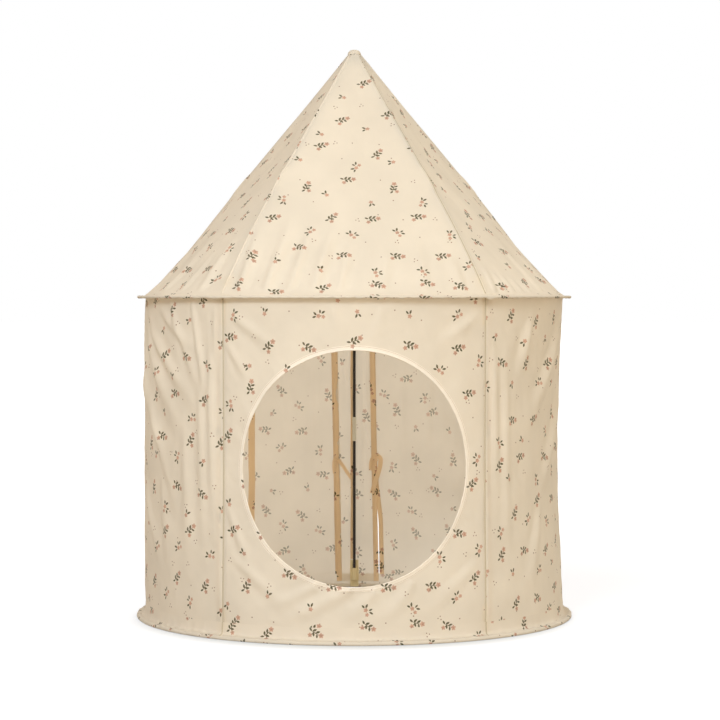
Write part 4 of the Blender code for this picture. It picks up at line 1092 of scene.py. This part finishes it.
# Seams: a thin line of thread and shadow lies in each groove, and indoors the edges are bound with a tape
seam = {
    "line": 0.0042, "lineLift": (0.0, 0.0006, 0.0006, 0.0),
    "footLine": 0.0038, "footLift": (0.0001, 0.0005, 0.0005, 0.0001),
    "tape": 0.0120, "tapeFrom": 0.0062, "tapeLift": -0.0010, "hingeTape": 0.0190, "hingeLift": -0.0014,
    "tapeSteps": (0.0, 0.04, 0.10, 0.30, 0.50, 0.70, 0.90, 0.96, 1.0),
    "tapeLifts": (0.3, 0.8, 1.0, 0.9, 1.0, 0.9, 1.0, 0.8, 0.3),
}


def seamLine(name, azimuth):
    along = np.array([-0.5, -0.25, 0.25, 0.5]) * seam["line"] + arcAt(azimuth)
    s, z = np.meshgrid(along, np.linspace(tent["wallFoot"], tent["wallHead"], 110))
    return gridPiece(name, wallPlaces(s, z, np.array(seam["lineLift"])), flatMarks(s, z), "seamShade")


def footSeam(name, azimuth):
    # a wall seam's last stretch, down the slope to the hoop's casing
    turns = math.radians(azimuth) + np.array([-0.5, -0.2, 0.2, 0.5]) * seam["footLine"] / tent["wallRadius"]
    out, up = ringWaves(turns, footHem["waves"], ringSeed(casing, ringColumns))
    lift = np.array(seam["footLift"])
    slope = casing[footHem["slopeFrom"]:]
    rows = [placed(turns, radius + out * loose + lift, z + up * loose + lift * 0.6) for radius, z, loose in slope]
    marks = [flatMarks(turns * tent["wallRadius"], z) for _, z, _ in slope]
    return gridPiece(name, np.array(rows), np.array(marks), "seamShade")


def seamTape(name, azimuth, start, width, low, high, finish="hemCottonPaintedShade", lift=seam["tapeLift"]):
    # a folded edge that lies against the inside of the wall
    steps = np.array(seam["tapeSteps"]) * width + (arcAt(azimuth) + start)
    s, z = np.meshgrid(steps, np.linspace(low, high, 90))
    wobble = 0.0004 * np.sin(z * 31.0 + azimuth)
    points = wallPlaces(s + wobble, z, np.array(seam["tapeLifts"]) * lift)
    return gridPiece(name, points, flatMarks(s, z, (0.3, 0.1)), finish)


for title, azimuth in poleAt.items():
    dress(roofSeamLine(f"roofSeam.{title}", azimuth), "eave", roofFold)
    if title == "back":
        continue
    dress(seamLine(f"seamLine.{title}", azimuth), "base", wallFold)
    dress(footSeam(f"footSeam.{title}", azimuth), "base")
    start = seam["tapeFrom"] if azimuth > 0 else -seam["tapeFrom"] - seam["tape"]
    tape = seamTape(f"seamTape.{title}", azimuth, start, seam["tape"], 0.036, 0.728, "printedCotton")
    dress(tape, "base", wallFold)
# the back pole's allowance lies just to its left, and a wider one runs down the left curtain's outer edge
dress(seamTape("seamTape.back", 180.0, 0.0010, 0.0085, 0.072, 0.728), "base", wallFold)
tape = seamTape(
    "seamTape.hinge", -tent["hingeAt"], 0.0005, seam["hingeTape"], 0.045, 0.695, lift=seam["hingeLift"])
dress(tape, "base", wallFold)
print("seams bound")

# Stitches, each a small spindle of thread lying on the cloth
stitch = {"pitch": 0.0050, "length": 0.0033, "width": 0.00042, "rise": 0.00034, "thick": (0.22, 0.78)}


def along(run, at, rows):
    # rows of three numbers, read off at these distances along a line
    return np.stack([np.interp(at, run, rows[:, i]) for i in range(3)], axis=-1)


def stitchRun(name, points, normals):
    length, width, rise = stitch["length"], stitch["width"], stitch["rise"]
    run = np.concatenate([[0.0], np.cumsum(np.linalg.norm(np.diff(points, axis=0), axis=1))])
    at = np.arange(stitch["pitch"] / 2, run[-1] - length, stitch["pitch"])
    start, end, up = along(run, at, points), along(run, at + length, points), along(run, at + length / 2, normals)
    up /= np.linalg.norm(up, axis=1, keepdims=True)
    ahead = (end - start) / np.linalg.norm(end - start, axis=1, keepdims=True)
    verts, faces = [], []
    for a, b, u, c in zip(start, end, up, np.cross(up, ahead)):
        first = len(verts)
        verts.append(a)
        for share in stitch["thick"]:
            middle = a + (b - a) * share + u * rise * 0.5
            verts += [middle + c * width / 2, middle + u * rise / 2, middle - c * width / 2, middle - u * rise]
        verts.append(b)
        for k in range(4):
            m = (k + 1) % 4
            faces.append((first, first + 1 + m, first + 1 + k))
            faces.append((first + 1 + k, first + 1 + m, first + 5 + m, first + 5 + k))
            faces.append((first + 9, first + 5 + k, first + 5 + m))
    mesh = bpy.data.meshes.new(name)
    mesh.from_pydata([tuple(v) for v in verts], [], faces)
    return finishMesh(name, mesh, "creamThread")


def radial(points):
    normals = points.copy()
    normals[:, 2] = 0.0
    return normals / np.linalg.norm(normals, axis=1, keepdims=True)


def ringLine(radius, z):
    return placed(np.linspace(0.0, 2 * math.pi, 1400), radius, z)


upright = np.array([0.0, 0.0, 1.0])
turns = np.linspace(0.0, 2 * math.pi, 500)
line = doorPlaces(turns, doorway["hemWidth"] * 0.76, doorway["hemRise"] * 0.62)[2]
dress(stitchRun("doorwayStitches", line, radial(line)), "base", wallFold)
line = doorPlaces(turns, doorway["hemWidth"] * 0.72, -doorway["hemRise"] - 0.0001)[2]
dress(stitchRun("doorwayStitches.inside", line, -radial(line)), "base", wallFold)
line = ringLine(0.4902, 0.0088)
dress(stitchRun("footStitches", line, radial(line) * 0.6 + upright * 0.8), "base")
line = ringLine(0.4893, tent["eave"] + brim["half"] * 0.82 + 0.0004)
dress(stitchRun("brimStitches", line, np.tile(upright, (len(line), 1))), "eave")
up = np.linspace(0.045, 0.695, 300)
for side, sign in bothSides:
    inwards = slitArc - back["curtainHem"]["width"][sign] * back["stitchAt"]
    flat, s, _ = curtainGrid(sign, np.array([inwards * sign]), up)
    line = wallPlaces(s[:, 0], up, looseness(flat[:, 0], up, sign) - 0.0007)
    dress(stitchRun(f"curtainStitches.{side}", line, -radial(line)), f"curtain_{side}", wallFold)
    flat = (slitArc - back["stripHem"]["over"] + back["stripHem"]["width"] * back["stitchAt"]) * sign
    line = wallPlaces(flat + slitLean(up, sign), up, -0.0007)
    dress(stitchRun(f"stripStitches.{side}", line, -radial(line)), "base", wallFold)
print("stitches laid")

# Webbing pockets: one layer flat against the cloth, the other curved round the rod
pocket = {
    "width": 0.0220, "rod": 0.0035, "slack": 0.0006, "layer": 0.0010, "tape": 0.0012,
    "rodAt": 0.4695, "back": 0.0066, "footZ": 0.0196, "depth": 0.0310, "headZ": 0.7203,
    "footTape": (0.0025, 0.0700), "headTape": (-0.0087, 0.0503),
    "roofFoot": (0.4604, 0.7500), "roofAim": (-0.5929, 0.8053),
    "roofDrop": -0.0030, "roofIn": -0.0016, "roofThin": 0.82,
    "columns": 72, "wobbleAt": (0.12, 0.28, 0.44, 0.60, 0.76, 0.90),
}


def pocketOutline():
    # once round, flat behind and arched in front; inwards from the rod's axis is negative x
    half, flat, tape = pocket["width"] / 2, pocket["back"], pocket["tape"]
    front = pocket["rod"] + pocket["slack"] + pocket["layer"]
    corners = [
        (flat, 0.0), (flat, half * 0.5), (flat, half - 0.0004), (flat - 0.0006, half),
        (flat - tape - 0.0004, half - 0.0003), (flat - tape - 0.0010, half * 0.78), (flat - tape - 0.0012, half * 0.60),
    ]
    for angle in np.radians(np.linspace(62.0, 298.0, 19)):
        corners.append((math.cos(angle) * front, math.sin(angle) * front))
    corners += [(x, -y) for x, y in corners[1:7][::-1]]
    path = np.array(corners + [corners[0]])
    run = np.concatenate([[0.0], np.cumsum(np.linalg.norm(np.diff(path, axis=0), axis=1))])
    at = np.linspace(0.0, run[-1], pocket["columns"], endpoint=False)
    return np.stack([np.interp(at, run, path[:, i]) for i in range(2)], axis=-1)


def standingRows(rows, matrix):
    # outlines at their heights, stood in the tent by the matrix
    flat = np.array([np.concatenate([outline, np.full((len(outline), 1), z)], axis=1) for outline, z in rows])
    return flat @ np.array(matrix.to_3x3()).T + np.array(matrix.translation)


def pocketPiece(name, matrix):
    # a closed foot at z = 0, and an open mouth at the top that the rod goes into
    outer, depth = pocketOutline(), pocket["depth"]
    angles = np.arctan2(outer[:, 1], outer[:, 0])
    inner = np.stack([np.cos(angles), np.sin(angles)], axis=-1) * (pocket["rod"] + pocket["slack"])
    middle = outer.mean(axis=0)
    rows = [(outer * 0 + middle, 0.0002), (outer * 0.6 + middle * 0.4, 0.0), (outer * 0.985, 0.0), (outer, 0.0006)]
    rows += [(outer * (1.0 + 0.006 * math.sin(share * 9.0)), depth * share) for share in pocket["wobbleAt"]]
    rows += [
        (outer, depth - 0.0004), (outer * 0.985, depth), (inner * 1.04, depth), (inner, depth - 0.0004),
        (inner, depth - 0.0080),
    ]
    perimeter = np.linspace(0.0, 0.062, pocket["columns"] + 1)
    marks = np.array([flatMarks(perimeter, z + 0.002 * i) for i, (_, z) in enumerate(rows)])
    return gridPiece(name, standingRows(rows, matrix), marks, "tanWebbing", wrap=True)


def tapePiece(name, matrix, low, high):
    # the flat tail of the tape, sewn to the wall's seam
    half, flat, thick = pocket["width"] / 2 - 0.0006, pocket["back"], pocket["tape"]
    outline = np.array([
        (flat, -half * 0.5), (flat, half * 0.5), (flat, half - 0.0003), (flat - thick / 2, half),
        (flat - thick + 0.0001, half - 0.0003), (flat - thick, half * 0.5), (flat - thick, -half * 0.5),
        (flat - thick + 0.0001, -half + 0.0003), (flat - thick / 2, -half), (flat, -half + 0.0003),
    ])
    ends = np.array([0.0, 0.0, 0.0004])
    levels = np.concatenate([low + ends, np.linspace(low + 0.003, high - 0.003, 14), (high - ends)[::-1]])
    # both ends close on the middle
    shares = [0.0, 0.93] + [1.0] * (len(levels) - 4) + [0.93, 0.0]
    middle = np.array([flat - thick / 2, 0.0])
    rows = [(middle + (outline - middle) * share, z) for share, z in zip(shares, levels)]
    steps = np.linalg.norm(np.diff(np.vstack([outline[-1:], outline]), axis=0), axis=1)
    marks = np.array([flatMarks(np.append(np.cumsum(steps), 0.05), z) for z in levels])
    return gridPiece(name, standingRows(rows, matrix), marks, "tanWebbing", wrap=True)


def facing(azimuth):
    # turns local X outwards at this azimuth
    return Matrix.Rotation(math.radians(azimuth - 90.0), 4, "Z")


def moved(x=0.0, z=0.0):
    return Matrix.Translation((x, 0.0, z))


pocketFolds = {
    "foot": {"joint": "wall_fold", "axis": (0, 0, 1), "anchor": (0, 0, 0.002), "keep": 0.25},
    "head": {"joint": "wall_fold", "axis": (0, 0, 1), "anchor": (0, 0, tent["eave"]), "keep": 0.15},
    "roof": {"joint": "roof_fold", "axis": (0, 0, 1), "anchor": (0, 0, tent["roofFoot"]), "keep": 0.147},
}
overturned = Matrix.Rotation(math.pi, 4, "X")
roofTurn = Matrix.Rotation(math.atan2(*pocket["roofAim"]), 4, "Y")
roofTurn = moved(*pocket["roofFoot"]) @ roofTurn @ moved(z=pocket["roofDrop"])
thinned = moved(pocket["roofIn"]) @ Matrix.Diagonal((pocket["roofThin"], 1.0, 1.0, 1.0))
for title, azimuth in poleAt.items():
    stand = facing(azimuth) @ moved(pocket["rodAt"])
    foot = pocketPiece(f"footPocket.{title}", stand @ moved(z=pocket["footZ"]))
    dress(foot, f"wall_pole_lower_{title}")
    tail = tapePiece(f"footTape.{title}", stand, *pocket["footTape"])
    dress(tail, "base", pocketFolds["foot"], [f"foot_pocket_{title}"])
    hang = stand @ moved(z=pocket["headZ"]) @ overturned
    head = pocketPiece(f"headPocket.{title}", hang)
    dress(head, f"wall_pole_upper_{title}")
    tail = tapePiece(f"headTape.{title}", hang, *pocket["headTape"])
    dress(tail, "eave", pocketFolds["head"], [f"eave_pocket_{title}"])
    upper = pocketPiece(f"roofPocket.{title}", facing(azimuth) @ roofTurn @ thinned)
    dress(upper, "eave", pocketFolds["roof"], [f"eave_pocket_{title}"])
print("pockets sewn")

# Ribbon ties at the slits, each ribbon with its width and path:
# (metres from the slit's edge towards the back pole, height, how far it stands indoors)
ribbon = {"clear": 0.0022, "lower": 0.018, "stand": 0.0028, "points": 44, "length": 0.07}
ribbons = {
    "strip_tie_left": [
        (0.0085, [
            (0.001, 0.343, 0.2), (0.007, 0.338, 0.9), (0.016, 0.326, 1.2), (0.026, 0.310, 0.8),
            (0.035, 0.297, 0.9), (0.043, 0.288, 0.5),
        ]),
    ],
    "curtain_tie_left": [
        (0.0070, [
            (0.001, 0.346, 0.2), (-0.003, 0.345, 0.9), (-0.007, 0.338, 1.1), (-0.0075, 0.322, 0.9),
            (-0.006, 0.306, 0.7),
        ]),
        (0.0055, [
            (-0.006, 0.3530, 1.4), (-0.001, 0.3520, 2.3), (0.003, 0.3465, 2.5), (0.001, 0.3405, 2.0),
            (-0.005, 0.3390, 1.4),
        ]),
    ],
    "curtain_tie_right": [
        (0.0115, [
            (-0.001, 0.3500, 0.2), (-0.010, 0.3500, 1.2), (-0.0165, 0.3430, 1.8), (-0.0140, 0.3250, 1.6),
            (-0.006, 0.3000, 1.2), (0.002, 0.2780, 1.0), (0.0085, 0.2560, 0.5),
        ]),
        (0.0055, [
            (-0.010, 0.3540, 1.4), (-0.004, 0.3560, 2.4), (0.002, 0.3520, 2.6), (0.003, 0.3450, 2.2),
            (-0.003, 0.3400, 1.8), (-0.008, 0.3410, 1.4),
        ]),
    ],
    "strip_tie_right": [
        (0.0070, [
            (0.000, 0.348, 0.2), (0.004, 0.347, 0.9), (0.009, 0.341, 1.1), (0.012, 0.328, 0.9), (0.012, 0.314, 0.7),
        ]),
    ],
}


def ribbonPiece(name, sign, width, path, number):
    spots, count = np.array(path), ribbon["points"]
    share = np.linspace(0, len(spots) - 1, count)
    # an easy curve through the points
    curve = np.stack([np.interp(share, np.arange(len(spots)), spots[:, i]) for i in range(3)], axis=-1)
    for _ in range(5):
        curve[1:-1] = (curve[:-2] + 2 * curve[1:-1] + curve[2:]) / 4
    away = np.gradient(curve[:, :2], axis=0)
    away /= np.linalg.norm(away, axis=1, keepdims=True)
    across = np.array([-0.5, -0.46, -0.25, 0.0, 0.25, 0.46, 0.5]) * width
    cup = np.array([0.25, 0.05, -0.1, 0.0, -0.1, 0.05, 0.25]) * 0.001
    twist = 0.0006 * np.sin(np.linspace(0, 5, count) + number)
    y = curve[:, None, 0] - away[:, None, 1] * across
    z = curve[:, None, 1] + away[:, None, 0] * across - ribbon["lower"]
    stand = ribbon["stand"] + ribbon["clear"] * curve[:, None, 2] + cup + twist[:, None] * across / width * 2
    points = wallPlaces(slitArc * sign + sign * y + slitLean(z, sign), z, -stand)
    run = np.linspace(0.0, ribbon["length"], count)[:, None]
    return gridPiece(f"{name}.{number}", points, flatMarks(across, run, (0.21, 0.13 * number)), "hemCottonPaintedShade")


ribbonPieces = {}
for title, paths in ribbons.items():
    side = title.split("_")[-1]
    body = f"curtain_{side}" if title.startswith("curtain") else "base"
    ribbonPieces[title] = [
        ribbonPiece(title + "Ribbon", dict(bothSides)[side], width, path, number)
        for number, (width, path) in enumerate(paths)
    ]
    for piece in ribbonPieces[title]:
        dress(piece, body, wallFold, [title])

print("ties knotted")

# Rods, ferrules, hoops and hub keep their shape and take their finish here
slotFinish = {
    "black_rod": "blackRod", "ferrule": "ferruleGrey", "spring_steel": "springSteel", "hub_plastic": "hubPlastic",
}
for entry in frame["record"]["subparts"]:
    finish = slotFinish.get(entry["material_slot"])
    if finish:
        for place in frame["nodes"][entry["node"]].material_slots:
            place.material = finishes[finish]
print("rods and ferrules finished")
